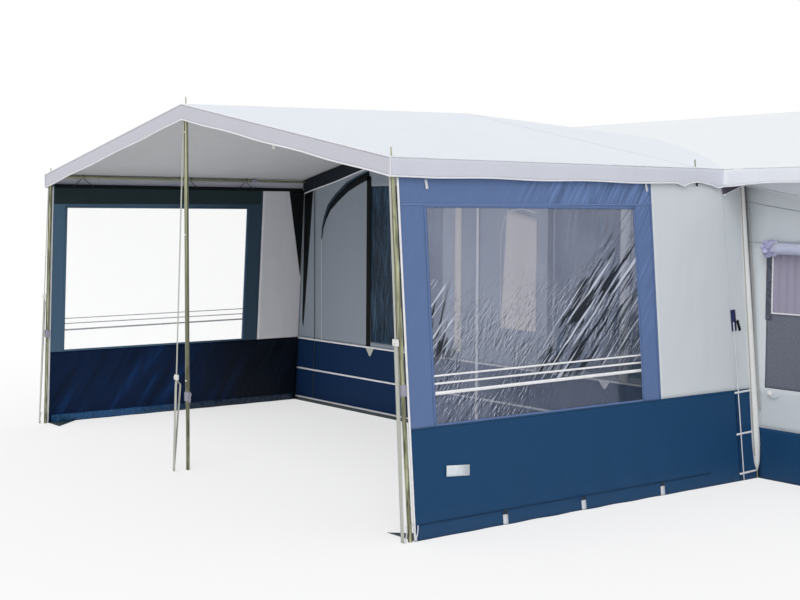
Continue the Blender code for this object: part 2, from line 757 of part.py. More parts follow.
def clamp_collar(name, side, foot, along, clamp):
    """The collar round both tubes, its two lugs, and the lever pinned in them."""
    half = COLLAR_HEIGHT / 2
    upper_bore = POST_RADIUS + SEAT
    profile = [(COLLAR_RADIUS - COLLAR_ROUND, -half), (COLLAR_RADIUS, COLLAR_ROUND - half),
               (COLLAR_RADIUS, half - COLLAR_ROUND), (COLLAR_RADIUS - COLLAR_ROUND, half),
               (upper_bore, half), (upper_bore, -SEAT), (POST_BORE, -SEAT), (POST_BORE, -half)]
    profile = [(radius, clamp + height) for radius, height in profile]
    collar = turned(f"{name}_clamp_collar", foot, along, profile, CLAMP_PLASTIC)
    frame = clamp_frame(side, foot, along, clamp)
    near = LEVER_WIDTH / 2 + LEVER_GAP
    start = (POST_RADIUS + COLLAR_RADIUS) / 2
    for sign in (-1, 1):
        sides = sorted((sign * near, sign * (near + LUG_THICKNESS)))
        lug = block("lug", (start, sides[0], LUG_RISE),
                    (LUG_REACH, sides[1], LUG_RISE + LUG_HEIGHT), CLAMP_PLASTIC)
        lug.matrix_world = frame
        combine(collar, lug, "UNION")
    pivot = Vector((PIVOT_REACH, 0.0, LUG_RISE + LUG_HEIGHT / 2))
    through = near + 2 * LUG_THICKNESS
    hole = round_bar("hinge_cutter", HINGE_PIN_RADIUS + HINGE_PIN_GAP, through)
    hole.matrix_world = frame @ Matrix.Translation(pivot)
    combine(collar, hole, "DIFFERENCE")

    half, wide = LEVER_THICKNESS / 2, LEVER_WIDTH / 2
    pin = near + LUG_THICKNESS
    hub = [(0.0, -pin), (HINGE_PIN_RADIUS, -pin), (HINGE_PIN_RADIUS, -wide), (HUB_RADIUS, -wide),
           (HUB_RADIUS, wide), (HINGE_PIN_RADIUS, wide), (HINGE_PIN_RADIUS, pin), (0.0, pin)]
    lever = turned(f"{name}_clamp_lever", (0.0, 0.0, 0.0), (0.0, 1.0, 0.0), hub,
                   CLAMP_PLASTIC, KNOB_SIDES)
    lever.matrix_world = frame @ Matrix.Translation(pivot)
    arm = block("lever_arm", (-half, -wide * ARM_SHARE, -LEVER_LENGTH),
                (half, wide * ARM_SHARE, 0.0), CLAMP_PLASTIC)
    arm.matrix_world = lever.matrix_world
    combine(lever, arm, "UNION")


def round_bar(name, radius, half_length):
    """A round bar along Y, centred on its own origin."""
    profile = [(0.0, 0.0), (radius, 0.0), (radius, 2 * half_length), (0.0, 2 * half_length)]
    return turned(name, (0.0, -half_length, 0.0), (0.0, 1.0, 0.0), profile, CLAMP_PLASTIC,
                  KNOB_SIDES)


# Roof poles of the canopy

def under_gable(x, y, radius):
    """Height of a pole's axis that just carries the gable roof's cloth at x, y."""
    rise = (ridge_z(y) - EAVE_Z) / ROOF_HALF
    return gable_z(x, y) - CLOTH - (radius + SEAT) * math.hypot(1.0, rise)


def gable_pole(name, side, y, post_y, foot, along, radius, bore):
    """A pole from the apex down one slope of the gable to a corner upright."""
    head_x = side * POST_RADIUS
    tail_x = side * half_width(EAVE_Z)
    head = Vector((head_x, y, under_gable(head_x, y, radius)))
    tail = Vector((tail_x, y, under_gable(tail_x, y, radius)))
    down = (tail - head).normalized()
    start = seat_on_post(head - down * POST_RADIUS, down, radius,
                         (0.0, post_y, 0.0), (0.0, 0.0, 1.0), POST_RADIUS)
    stop = seat_on_post(tail, -down, radius, foot, along, POST_RADIUS)
    tube(name, head + down * (start - POST_RADIUS), tail - down * stop, radius, bore, STEEL)


def canopy_poles():
    """Gable poles at the front and telescopic ridge and eave poles."""
    for name, side in (("left", -1), ("right", 1)):
        foot, along = post_axis(side, POST_Y, POST_INSET)
        gable_pole(f"{name}_gable_pole", side, POST_Y, POST_Y, foot, along,
                   POLE_RADIUS, POLE_BORE)
        eave_x = side * (half_width(EAVE_Z) - POST_INSET)
        eave_z = under_gable(eave_x, POST_Y, EAVE_CLAMP_RADIUS)
        telescopic_pole(f"{name}_eave", eave_x, eave_z, eave_z, EAVE_JOINT_SHARE)
        pole_clamp(f"{name}_eave_clamp", eave_x, eave_z, side)
    telescopic_pole("ridge", 0.0, under_gable(0.0, POST_Y, POLE_RADIUS),
                    under_gable(0.0, CANOPY_DEPTH, POLE_RADIUS), RIDGE_JOINT_SHARE)


def telescopic_pole(name, x, front_z, rear_z, joint_share):
    """A front tube and the rod that slides in it, on one line."""
    front = Vector((x, POST_Y + POST_RADIUS + 2 * SEAT, front_z))
    rear = Vector((x, POLE_REAR_Y, rear_z))
    rise = (rear.z - front.z) / (rear.y - front.y)
    joint_y = CANOPY_DEPTH * joint_share

    def at(y):
        return Vector((x, y, front.z + rise * (y - front.y)))

    tube(f"{name}_pole_front", front, at(joint_y), POLE_RADIUS, POLE_BORE, STEEL)
    tube(f"{name}_pole_rear", at(joint_y - ROD_OVERLAP), rear, ROD_RADIUS,
         ROD_RADIUS - ROD_WALL, STEEL)


def pole_clamp(name, x, z, side):
    """The clamp at an eave pole's joint, with a knob pointing inwards."""
    joint_y = CANOPY_DEPTH * EAVE_JOINT_SHARE
    start = joint_y - EAVE_CLAMP_LENGTH / 2
    middle = EAVE_CLAMP_LENGTH / 2 + SEAT
    wide = POLE_RADIUS + SEAT
    profile = [(EAVE_CLAMP_RADIUS, 0.0), (wide, 0.0), (wide, middle),
               (POLE_BORE, middle), (POLE_BORE, EAVE_CLAMP_LENGTH),
               (EAVE_CLAMP_RADIUS, EAVE_CLAMP_LENGTH)]
    clamp = turned(name, (x, start, z), (0.0, 1.0, 0.0), profile, CLAMP_PLASTIC)
    inner = (POLE_RADIUS + SEAT + EAVE_CLAMP_RADIUS) / 2
    knob_start = Vector((x - side * inner, joint_y, z))
    shape = [(0.0, 0.0), (KNOB_RADIUS, 0.0), (KNOB_RADIUS, KNOB_LENGTH), (0.0, KNOB_LENGTH)]
    knob = turned("knob", knob_start, (-side, 0.0, 0.0), shape, CLAMP_PLASTIC, KNOB_SIDES)
    combine(clamp, knob, "UNION")


# Frame of the main awning

def main_frame():
    """Uprights, gable poles, ridge, rafters and the outer front pole."""
    radius, bore = MAIN_POLE_RADIUS, MAIN_POLE_BORE
    behind_post = MAIN_POST_Y + POST_RADIUS + 2 * SEAT
    rear = (REAR_Y - radius, under_slope(REAR_Y - radius, radius))
    for name, side in (("left", -1), ("right", 1)):
        foot, along = post_axis(side, MAIN_POST_Y, MAIN_POST_INSET)
        pinned_upright(f"main_{name}_upright", foot, along, POST_RADIUS * abs(along.x))
        main_gable_pole(name, side, foot, along, radius, bore)
        rafter_x = side * (half_width(EAVE_Z) - MAIN_POST_INSET)
        low = gable_z(abs(rafter_x) + radius, MAIN_POST_Y) - CLOTH - CAP_CLEARANCE - radius
        bend_y = ROOF_FRONT_Y + (low - under_slope(ROOF_FRONT_Y, radius)) / MAIN_SLOPE
        bend = (bend_y + CAP_CLEARANCE, low)
        route = [(rafter_x, behind_post, low), (rafter_x, *bend), (rafter_x, *rear)]
        bent_tube(f"main_{name}_rafter", route, radius, bore, STEEL)

    start_z = under_gable(0.0, MAIN_POST_Y, radius) - CAP_CLEARANCE
    start_y = MAIN_POST_Y + radius + 2 * SEAT
    end_z = start_z - RIDGE_FALL_SHARE * (rear[0] - start_y)
    tube("main_ridge_pole", (0.0, start_y, start_z), (0.0, rear[0], end_z), radius, bore, STEEL)

    front_y = OUTER_Y + CLOTH + SEAT + POST_RADIUS
    end_x = END_X - CLOTH - SEAT - POST_RADIUS
    top = main_z(front_y - POST_RADIUS) - CLOTH - CAP_CLEARANCE
    tube("main_end_upright", (end_x, front_y, 0.0), (end_x, front_y, top),
         POST_RADIUS, POST_BORE, STEEL)
    rafter_start = front_y + POST_RADIUS + 2 * SEAT
    tube("main_end_rafter", (end_x, rafter_start, under_slope(rafter_start, radius)),
         (end_x, *rear), radius, bore, STEEL)
    pole_z = main_z(front_y - radius) - CLOTH - CAP_CLEARANCE - radius
    rafter_side = half_width(EAVE_Z) - MAIN_POST_INSET + radius + 2 * SEAT
    tube("main_front_pole", (rafter_side, front_y, pole_z),
         (end_x - POST_RADIUS - 2 * SEAT, front_y, pole_z), radius, bore, STEEL)


def main_gable_pole(name, side, foot, along, radius, bore):
    """A pole under the main gable's front, from the apex to a corner upright."""
    y = foot.y
    head_x = side * SEAT
    tail_x = side * half_width(EAVE_Z)
    head = Vector((head_x, y, under_gable(head_x, y, radius)))
    tail = Vector((tail_x, y, under_gable(tail_x, y, radius)))
    down = (tail - head).normalized()
    stop = seat_on_post(tail, -down, radius, foot, along, POST_RADIUS)
    tip = radius * abs(down.z)
    tube(f"main_{name}_gable_pole", head + down * tip, tail - down * stop, radius, bore, STEEL)


def under_slope(y, radius):
    """Height of a pole's axis that just carries the main slope's cloth at y."""
    return main_z(y) - CLOTH - (radius + SEAT) * math.hypot(1.0, MAIN_SLOPE)


# Storm straps

def storm_strap(name, side, reach, buckle_z):
    """Webbing from an upright's top, doubled below its buckle, to the ground."""
    foot, along = post_axis(side, POST_Y, POST_INSET)
    top_z = post_top(foot, along) * along.z - STRAP_TOP_DROP
    front = POST_Y - POST_RADIUS - SEAT
    half = STRAP_THICKNESS / 2
    head = Vector((front - half, top_z))
    tail = Vector((front - half - reach, STRAP_THICKNESS))
    down = (tail - head).normalized()
    out = Vector((down.y, -down.x))
    length = (tail - head).length
    fork = length * (top_z - buckle_z) / top_z
    spread = STRAP_LOOP / 2
    bulge_start = fork + BUCKLE_HEIGHT
    bulge_end = length - 2 * BUCKLE_HEIGHT

    def place(distance, offset):
        y, z = head + down * distance + out * offset
        centre = foot + along * (z / along.z)
        return centre.x, y, z

    outer_line = [(0.0, half), (fork, half), (bulge_start, spread + half),
                  (bulge_end, spread + half), (length, half)]
    hole_line = [(fork + STRAP_LOOP, 0.0), (bulge_start, spread - half),
                 (bulge_end, spread - half), (length - STRAP_LOOP, 0.0)]
    front_side = [place(d, o) for d, o in outer_line]
    rear_side = [place(d, -o) for d, o in outer_line]
    hole_front = [place(d, o) for d, o in hole_line]
    hole_rear = [place(d, -o) for d, o in hole_line[1:-1]]
    count = len(outer_line)
    points, faces = [], []
    ring = front_side + rear_side + hole_front + hole_rear
    for shift in (-STRAP_WIDTH / 2, STRAP_WIDTH / 2):
        points += [(x + shift, y, z) for x, y, z in ring]
    total = len(ring)
    f = list(range(count))
    r = list(range(count, 2 * count))
    h = list(range(2 * count, 2 * count + len(hole_front)))
    b = list(range(2 * count + len(hole_front), total))
    flats = [[f[0], f[1], r[1], r[0]], [f[1], h[0], r[1]],
             [f[1], f[2], h[1], h[0]], [f[2], f[3], h[2], h[1]], [f[3], f[4], h[3], h[2]],
             [r[1], h[0], b[0], r[2]], [r[2], b[0], b[1], r[3]], [r[3], b[1], h[3], r[4]],
             [f[4], r[4], h[3]]]
    for flat in flats:
        faces.append(flat)
        faces.append([n + total for n in reversed(flat)])
    rim = f + list(reversed(r))
    hole = h + list(reversed(b))
    for loop in (rim, hole):
        for k, n in enumerate(loop):
            m = loop[(k + 1) % len(loop)]
            faces.append([n, m, m + total, n + total])
    finish(f"{name}_strap", closed_mesh(name, points, faces), STRAP_WEB)
    buckle(name, place, fork)


def buckle(name, place, fork):
    """A ring of plastic round the strap just above its fork, with a knob."""
    slot_x = STRAP_WIDTH / 2 + SEAT
    slot_y = STRAP_THICKNESS / 2 + SEAT
    half_x, half_y = BUCKLE_WIDTH / 2, BUCKLE_DEPTH / 2
    inside = [(-slot_x, -slot_y), (slot_x, -slot_y), (slot_x, slot_y), (-slot_x, slot_y)]
    outside = [(-half_x, -half_y), (half_x, -half_y), (half_x, half_y), (-half_x, half_y)]
    points, faces = [], []
    for distance in (fork - BUCKLE_HEIGHT - SEAT, fork - SEAT):
        for outline in (outside, inside):
            for across, offset in outline:
                x, y, z = place(distance, offset)
                points.append((x + across, y, z))
    for k in range(4):
        n = (k + 1) % 4
        faces.append([k, n, n + 8, k + 8])
        faces.append([k + 4, n + 4, n + 12, k + 12])
        faces.append([k, n, n + 4, k + 4])
        faces.append([k + 8, n + 8, n + 12, k + 12])
    body = finish(f"{name}_strap_buckle", closed_mesh(name, points, faces), BUCKLE_PLASTIC)
    x, y, z = place(fork - BUCKLE_HEIGHT / 2, (half_y + slot_y) / 2)
    shape = [(0.0, 0.0), (BUCKLE_KNOB_RADIUS, 0.0), (BUCKLE_KNOB_RADIUS, BUCKLE_DEPTH),
             (0.0, BUCKLE_DEPTH)]
    knob = turned("buckle_knob", (x, y, z), (0.0, -1.0, 0.0), shape, BUCKLE_PLASTIC, KNOB_SIDES)
    combine(body, knob, "UNION")


canopy_roof()
main_roof()
canopy_valance()
main_valance()
side_wall("left", -1)
side_wall("right", 1)
corner_flap("left_corner_flap", -1)
corner_flap("right_corner_flap", 1)
centre_wall()
outer_wall()
blind_roll()
end_walls()
canopy_post("centre", 0, CENTRE_CLAMP_Z)
canopy_post("left", -1, LEFT_CLAMP_Z)
canopy_post("right", 1, RIGHT_CLAMP_Z)
canopy_poles()
main_frame()
storm_strap("centre", 0, CENTRE_STRAP_REACH, CENTRE_BUCKLE_Z)
storm_strap("left", -1, SIDE_STRAP_REACH, SIDE_BUCKLE_Z)
storm_strap("right", 1, SIDE_STRAP_REACH, SIDE_BUCKLE_Z)
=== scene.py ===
# %% [markdown]
# # A caravan awning with a gabled canopy
# The awning is cloth and clear film hung on thin steel poles. Two roofs cover it: a
# small gable roof over the canopy in front, and a wide roof behind that rises to the
# caravan's rail. The steel, the clamps and the buckles come ready from the packed
# model, and each soft piece is made again here as a thin, wavy sheet in the same
# place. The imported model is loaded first, because it is the frame that all the new
# pieces are set in.

# %% Load the frame
import math

import bpy
import numpy as np
from mathutils import Matrix, Vector


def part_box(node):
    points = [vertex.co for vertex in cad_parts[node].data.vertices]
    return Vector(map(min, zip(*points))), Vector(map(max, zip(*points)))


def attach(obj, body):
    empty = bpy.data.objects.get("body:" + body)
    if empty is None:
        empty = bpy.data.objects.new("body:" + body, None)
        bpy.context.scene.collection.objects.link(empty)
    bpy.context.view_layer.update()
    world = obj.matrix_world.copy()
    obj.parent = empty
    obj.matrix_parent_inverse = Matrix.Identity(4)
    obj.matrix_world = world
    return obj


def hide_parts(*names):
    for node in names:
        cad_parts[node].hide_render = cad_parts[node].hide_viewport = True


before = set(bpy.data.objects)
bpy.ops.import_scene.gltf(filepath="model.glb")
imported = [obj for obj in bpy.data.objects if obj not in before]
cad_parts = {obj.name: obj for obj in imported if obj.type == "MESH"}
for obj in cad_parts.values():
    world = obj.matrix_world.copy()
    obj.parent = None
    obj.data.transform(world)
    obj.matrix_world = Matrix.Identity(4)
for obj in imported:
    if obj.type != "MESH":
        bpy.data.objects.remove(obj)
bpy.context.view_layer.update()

# %% [markdown]
# ## The sizes and the form
# All the cloth hangs between a few lines: the ridge, the two eaves, the feet of the
# leaning side walls and the rail on the caravan. The same sizes drive the packed
# solids, so a sheet worked out from them lies where its solid is. Each curve below
# is written for whole arrays, so a sheet's points come out in one step.

# %% Sizes, in metres
CANOPY_DEPTH, EAVE_Z, APEX_Z, RIDGE_REAR_Z = 2.32, 1.935, 2.335, 2.39
HALF_TOP, HALF_FOOT = 2.165, 2.335
LEAN = (HALF_FOOT - HALF_TOP) / EAVE_Z
ROOF_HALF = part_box("canopy_roof")[1].x
FRONT_Y, WALL_FRONT_Y = -0.032, 0.0208
OUTER_Y, ROOF_FRONT_Y, REAR_Y = 2.77, 2.55, 5.10
END_X, ROOF_END_X = 3.45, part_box("main_roof")[1].x
RIDGE_FALL, MAIN_SLOPE = 0.05, 0.555 / (REAR_Y - ROOF_FRONT_Y)
BAND_TOP, OUTER_BAND_TOP = 0.56, 0.32
CLOTH, GAP = 0.004, 0.0003
SIDES = (("left", -1), ("right", 1))
print("roof half width", round(ROOF_HALF, 4), "main slope", round(MAIN_SLOPE, 4))

# %% The form's curves
def half_width(z):
    """Outer face of a side wall: the foot's half width less the lean times the height."""
    return HALF_FOOT - LEAN * z


def ridge_z(y):
    """The ridge climbs evenly to the canopy's rear, then falls 5 cm in each metre."""
    climb = APEX_Z + (RIDGE_REAR_Z - APEX_Z) * y / CANOPY_DEPTH
    return np.where(y <= CANOPY_DEPTH, climb, RIDGE_REAR_Z - RIDGE_FALL * (y - CANOPY_DEPTH))


def gable_z(x, y):
    """A straight line from the ridge down to the eave, by the share of the half width."""
    return ridge_z(y) - (ridge_z(y) - EAVE_Z) * np.abs(x) / ROOF_HALF


def main_z(y):
    """The main roof's plain slope, from its front edge up to the rail."""
    return EAVE_Z + MAIN_SLOPE * (y - ROOF_FRONT_Y)


def main_roof_z(x, y):
    """The higher of gable and slope; beyond the gable's eave, the slope alone."""
    return np.where(np.abs(x) > ROOF_HALF + GAP, main_z(y), np.maximum(gable_z(x, y), main_z(y)))


def valley_y(x):
    """Where the falling gable meets the rising slope, from equal heights."""
    share = np.clip(1 - np.abs(x) / ROOF_HALF, 0, 1)
    rise = RIDGE_REAR_Z - EAVE_Z + RIDGE_FALL * CANOPY_DEPTH
    return (share * rise + MAIN_SLOPE * ROOF_FRONT_Y) / (MAIN_SLOPE + share * RIDGE_FALL)

# %% [markdown]
# ## The camera
# The photograph was taken from the right, a little below the height of the eaves,
# with a long lens: the uprights stay almost parallel. The camera is placed by a
# position and three angles, which were fitted to the corners of the awning.

# %% Camera
def place_camera(spot, turn, tilt, roll, lens):
    """Looks along a line turned from +Y, tilted down, then rolled about itself."""
    turn, tilt, roll = (math.radians(angle) for angle in (turn, tilt, roll))
    forward = Vector((-math.sin(turn) * math.cos(tilt), math.cos(turn) * math.cos(tilt),
                      -math.sin(tilt)))
    level = Vector((math.cos(turn), math.sin(turn), 0.0))
    over = level.cross(forward)
    right = level * math.cos(roll) + over * math.sin(roll)
    upward = over * math.cos(roll) - level * math.sin(roll)
    data = bpy.data.cameras.new("photo_camera")
    data.lens, data.sensor_width, data.clip_end = lens, 36.0, 200.0
    camera = bpy.data.objects.new("photo_camera", data)
    bpy.context.scene.collection.objects.link(camera)
    turned = Matrix((right, upward, -forward)).transposed().to_4x4()
    camera.matrix_world = Matrix.Translation(spot) @ turned
    bpy.context.scene.camera = camera
    return camera


camera = place_camera((7.487, -4.020, 1.650), 52.573, 3.749, 0.26, 59.34)
print("camera at", tuple(round(v, 2) for v in camera.location), "lens", camera.data.lens)

# %% [markdown]
# ## Shader maths
# A finish is a net of nodes. Written out node by node it is hard to read, so three
# small classes carry it. Number wraps one socket, and its operators add Math nodes,
# so that a mask can be written as 1 - stain * 0.5. Net holds a tree and adds every
# other kind of node in one method, its settings first. Finish is the net of one
# material, with short names for the patterns that cloth, film and steel share.

# %% Number
class Number:
    """A socket that holds a value. Arithmetic on it adds Math nodes to its net."""

    def __init__(self, net, socket):
        self.net, self.socket = net, socket

    def maths(self, operation, first, second):
        return self.net.add("ShaderNodeMath", {"operation": operation}, {0: first, 1: second})

    def __add__(self, other):
        return self.maths("ADD", self, other)

    def __sub__(self, other):
        return self.maths("SUBTRACT", self, other)

    def __rsub__(self, other):
        return self.maths("SUBTRACT", other, self)

    def __mul__(self, other):
        return self.maths("MULTIPLY", self, other)

    __radd__, __rmul__ = __add__, __mul__

# %% Net
class Net:
    """A tree of nodes: add() puts in any node and gives one of its outputs."""

    def __init__(self, tree):
        self.tree = tree

    def feed(self, node, inputs):
        """Each input takes a link where the value is a Number, and else the value itself."""
        for key, value in inputs.items():
            if isinstance(value, Number):
                self.tree.links.new(value.socket, node.inputs[key])
            elif value is not None:
                node.inputs[key].default_value = value

    def add(self, kind, settings=None, inputs=None, output=0):
        node = self.tree.nodes.new(kind)
        for key, value in (settings or {}).items():
            setattr(node, key, value)
        self.feed(node, inputs or {})
        return Number(self, node.outputs[output])

    def capped(self, first, second):
        """The sum of two values, held between 0 and 1."""
        return self.add("ShaderNodeMath", {"operation": "ADD", "use_clamp": True},
                        {0: first, 1: second})

# %% Finish
WAVES_AT_ONE = 3.18     # a Wave node of scale 1 makes this many stripes in a metre


class Finish(Net):
    """A material. Its surface shader's plain sockets are set when it is made."""

    def __init__(self, name, shader=None):
        self.material = bpy.data.materials.new(name)
        self.material.use_nodes = True
        super().__init__(self.material.node_tree)
        self.shader = self.tree.nodes["Principled BSDF"]
        self.feed(self.shader, shader or {})

    def flat_place(self, squeeze=(1, 1, 1), turn=0.0, shift=(0, 0, 0)):
        """The sheet's own flat measure in metres: shifted, turned, then squeezed."""
        flat = self.add("ShaderNodeUVMap", {"uv_map": "flat"})
        return self.add("ShaderNodeMapping", {"vector_type": "TEXTURE"},
                        {"Vector": flat, "Scale": tuple(1 / s for s in squeeze),
                         "Rotation": (0, 0, turn), "Location": shift})

    def parts(self, vector):
        """A vector's first and second measure, as two Numbers."""
        node = self.add("ShaderNodeSeparateXYZ", {}, {"Vector": vector}).socket.node
        return Number(self, node.outputs[0]), Number(self, node.outputs[1])

    def solid_place(self, stretch=(1, 1, 1)):
        """The place in the row frame, for steel and moulded pieces."""
        place = self.add("ShaderNodeTexCoord", {}, {}, "Object")
        return self.add("ShaderNodeMapping", {}, {"Vector": place, "Scale": stretch})

    def noise(self, place, scale, detail=2.0, distortion=0.0):
        return self.add("ShaderNodeTexNoise", {}, {"Vector": place, "Scale": scale,
                                                   "Detail": detail, "Distortion": distortion})

    def wave(self, place, per_metre, direction):
        """Even stripes across the direction, as many as asked for in each metre."""
        return self.add("ShaderNodeTexWave", {"bands_direction": direction},
                        {"Vector": place, "Scale": per_metre / WAVES_AT_ONE, "Distortion": 0.0},
                        1)

    def between(self, value, low, high, to_low=0.0, to_high=1.0):
        """Smooth step of a value from low to high."""
        return self.add("ShaderNodeMapRange", {"interpolation_type": "SMOOTHSTEP"},
                        {"Value": value, "From Min": low, "From Max": high,
                         "To Min": to_low, "To Max": to_high})

    def blend(self, share, first, second):
        """A colour that goes from the first to the second with the share."""
        return self.add("ShaderNodeMix", {"data_type": "RGBA"}, {0: share, 6: first, 7: second}, 2)

    def bump(self, height, depth, strength=1.0, before=None):
        return self.add("ShaderNodeBump", {}, {"Height": height, "Distance": depth,
                                               "Strength": strength, "Normal": before})

    def show(self, **sockets):
        """Feeds the surface shader; a name's underscores stand for spaces."""
        self.feed(self.shader, {key.replace("_", " "): value for key, value in sockets.items()})
        return self.material

# %% Colours
def tint(red, green, blue):
    """A screen colour of 0 to 255 as the linear colour a shader takes."""
    share = np.array([red, green, blue]) / 255
    linear = np.where(share <= 0.04045, share / 12.92, ((share + 0.055) / 1.055) ** 2.4)
    return (*linear.round(4).tolist(), 1.0)


def shade(colour, times):
    """The same colour, brighter or darker by a factor."""
    return (*(min(channel * times, 1.0) for channel in colour[:3]), 1.0)

# %% [markdown]
# ## The studio
# The object stands on a pale floor in soft, even light. One broad sun from the right
# and above gives the roof its brightness and the front its shade, and a white sky
# fills in the rest. Far out, and behind everything, the floor and the sky are plain
# white to the camera and to reflections, while the floor near the object keeps its
# soft shadow. Pale ground also throws light back up under a canopy, and a low, wide
# lamp that lies there and shines upwards gives that glow without being seen. A second,
# weak sun stands low on the right and reaches the walls under the roof's edge.

# %% Floor, sky and lamps
def seen_ray(net):
    """1 for rays from the camera, a reflection or a clear film, and 0 for light."""
    def ray(kind):
        return net.add("ShaderNodeLightPath", {}, {}, kind)
    return net.capped(ray("Is Camera Ray"), ray("Is Glossy Ray") + ray("Is Transmission Ray"))


def lay_floor(half=60.0, middle=(0.6, 2.5, 0.0)):
    """A square of floor, pale with a soft shadow near its middle and white far off."""
    mesh = bpy.data.meshes.new("studio_floor")
    mesh.from_pydata([(-half, -half, 0), (half, -half, 0), (half, half, 0), (-half, half, 0)],
                     [], [(0, 1, 2, 3)])
    paint = Finish("studio_floor", {"Base Color": tint(244, 244, 245), "Roughness": 0.95})
    place = paint.add("ShaderNodeTexCoord", {}, {}, "Object")
    away = paint.add("ShaderNodeVectorMath", {"operation": "DISTANCE"},
                     {0: place, 1: middle}, "Value")
    white = paint.add("ShaderNodeEmission", {}, {"Color": (1, 1, 1, 1), "Strength": 1.0})
    share = paint.between(away, 2.5, 9.0, 0.62, 1.0) * seen_ray(paint)
    pale = Number(paint, paint.shader.outputs[0])
    mixed = paint.add("ShaderNodeMixShader", {}, {0: share, 1: pale, 2: white})
    paint.feed(paint.tree.nodes["Material Output"], {"Surface": mixed})
    mesh.materials.append(paint.material)
    floor = bpy.data.objects.new("studio_floor", mesh)
    bpy.context.scene.collection.objects.link(floor)


def light_studio(sky=0.72, sun=0.92, low_sun=0.30, glow=24.0):
    """A white sky of the given strength, two broad suns, and the ground's glow."""
    world = bpy.data.worlds.new("studio_sky")
    world.use_nodes = True
    net = Net(world.node_tree)
    strength = net.add("ShaderNodeMapRange", {},
                       {"Value": seen_ray(net), "To Min": sky, "To Max": 1.0})
    net.feed(net.tree.nodes["Background"], {"Color": (1, 1, 1, 1), "Strength": strength})
    bpy.context.scene.world = world
    for name, energy, angle, way in (("broad_sun", sun, 35, (-0.42, 0.50, -0.757)),
                                     ("low_sun", low_sun, 60, (-0.62, 0.75, -0.22))):
        lamp = bpy.data.lights.new(name, "SUN")
        lamp.energy, lamp.angle = energy, math.radians(angle)
        holder = bpy.data.objects.new(name, lamp)
        holder.rotation_euler = Vector(way).to_track_quat("-Z", "Y").to_euler()
        bpy.context.scene.collection.objects.link(holder)
    lamp = bpy.data.lights.new("ground_glow", "AREA")
    lamp.shape, lamp.size, lamp.size_y, lamp.energy = "RECTANGLE", 4.3, 2.1, glow
    holder = bpy.data.objects.new("ground_glow", lamp)
    holder.location, holder.rotation_euler = (0, 1.15, 0.012), (math.pi, 0, 0)
    holder.visible_camera = holder.visible_glossy = False
    bpy.context.scene.collection.objects.link(holder)

# %% Set up the studio
lay_floor()
light_studio()
bpy.context.scene.view_settings.view_transform = "Standard"
print("floor, sky and lamp are set")

# %% [markdown]
# ## Coated cloth
# Every soft panel is a woven cloth with a plastic coat. Close by one sees the
# threads, a hand's breadth away long slack creases, and from further off a faint
# cloudiness where the coat has taken dirt and rain. One recipe makes all of them
# from a few numbers: the crossed threads and the creases go into the bump, and the
# clouds, streaks and specks into the colour. It reads the flat measure of each sheet
# in metres, so the threads follow the cloth round its folds.

# %% Cloth recipe
def woven(name, colour, roughness=0.72, cloud=0.06, crease=0.5, thread=900.0, streak=0.03,
          creased=(3.0, 1.2, 1.0), turn=0.0, soil=0.0, specular=0.35, sheen=0.0, strain=0.0,
          speck=0.05, speck_scale=160.0, painted_shade=None, folded=0.0):
    """Clouds and streaks tint the colour; threads and creases raise the surface.

    `painted_shade` is a place along, a second one, and how dark painted shade makes the cloth
    between them.
    `folded` says how strongly slanting folds get painted highlights and painted shade, and
    `strain` how strongly creases fan out over a window's head and down its rear edge, raised
    in the bump and given painted highlights and shade.
    """
    cloth = Finish(name, {"Specular IOR Level": specular, "Sheen Weight": sheen,
                          "Sheen Roughness": 0.5})
    flat = cloth.flat_place()
    clouds = cloth.noise(flat, 2.6, 3.0, 0.4)
    streaks = cloth.noise(cloth.flat_place((34.0, 1.6, 1.0)), 1.0, 2.0)
    specks = cloth.noise(flat, speck_scale, 1.0)
    threads = cloth.wave(flat, thread, "X") * 0.5 + cloth.wave(flat, thread, "Y") * 0.5
    folds = cloth.noise(cloth.flat_place(creased, turn), 1.6, 2.0, 0.8)
    tone = (clouds - 0.5) * cloud + (streaks - 0.5) * streak + (specks - 0.5) * speck
    base = cloth.blend(tone * 2.5 + 0.5, shade(colour, 0.80), shade(colour, 1.20))
    small = cloth.bump(threads + specks * 0.4, 0.0003, 0.5)
    if soil:
        height = cloth.parts(flat)[1]
        splash = cloth.noise(flat, 7.0, 4.0, 0.6)
        low = cloth.between(height + (splash - 0.5) * 0.16, 0.16, 0.0)
        base = cloth.blend(low * soil, base, tint(150, 146, 138))
    # Painted highlights and painted shade along slanting folds.
    if folded:
        ridge = cloth.noise(cloth.flat_place((1.3, 9.0, 1.0), 1.05), 1.0, 2.0, 0.5)
        base = cloth.blend(cloth.between(ridge, 0.54, 0.68) * folded, base, shade(colour, 3.2))
        base = cloth.blend(cloth.between(ridge, 0.46, 0.34) * folded, base, shade(colour, 0.4))
    # Painted shade: the cloth darkens from the first place along to the second, as shade deepens
    # towards the rear.
    if painted_shade:
        place = cloth.parts(flat)[0] + (folds - 0.5) * 0.6
        base = cloth.blend(cloth.between(place, painted_shade[0], painted_shade[1]) * painted_shade[2], base,
                           tint(8, 11, 14))
    # Painted highlights and painted shade on the strained creases, which the bump also raises.
    if strain:
        along, up = cloth.parts(flat)
        pulled = cloth.noise(cloth.flat_place((2.6, 46.0, 1.0), 0.95), 1.0, 1.5, 0.2)
        head_strip = cloth.between(up, 1.66, 1.74) * cloth.between(along, 0.70, 1.15)
        rear_strip = cloth.between(along, 1.76, 1.80) * cloth.between(up, 0.75, 1.3)
        where = head_strip + rear_strip * 0.7 + 0.08
        base = cloth.blend(cloth.between(pulled, 0.52, 0.66) * where * strain, base,
                           shade(colour, 1.7))
        base = cloth.blend(cloth.between(pulled, 0.46, 0.36) * where * strain, base,
                           shade(colour, 0.5))
        small = cloth.bump(pulled * where, 0.006, strain, small)
    normal = cloth.bump(folds, 0.035 * crease, 0.8, small)
    cloth.show(Base_Color=base, Roughness=(clouds - 0.5) * 0.12 + roughness, Normal=normal)
    return cloth.material

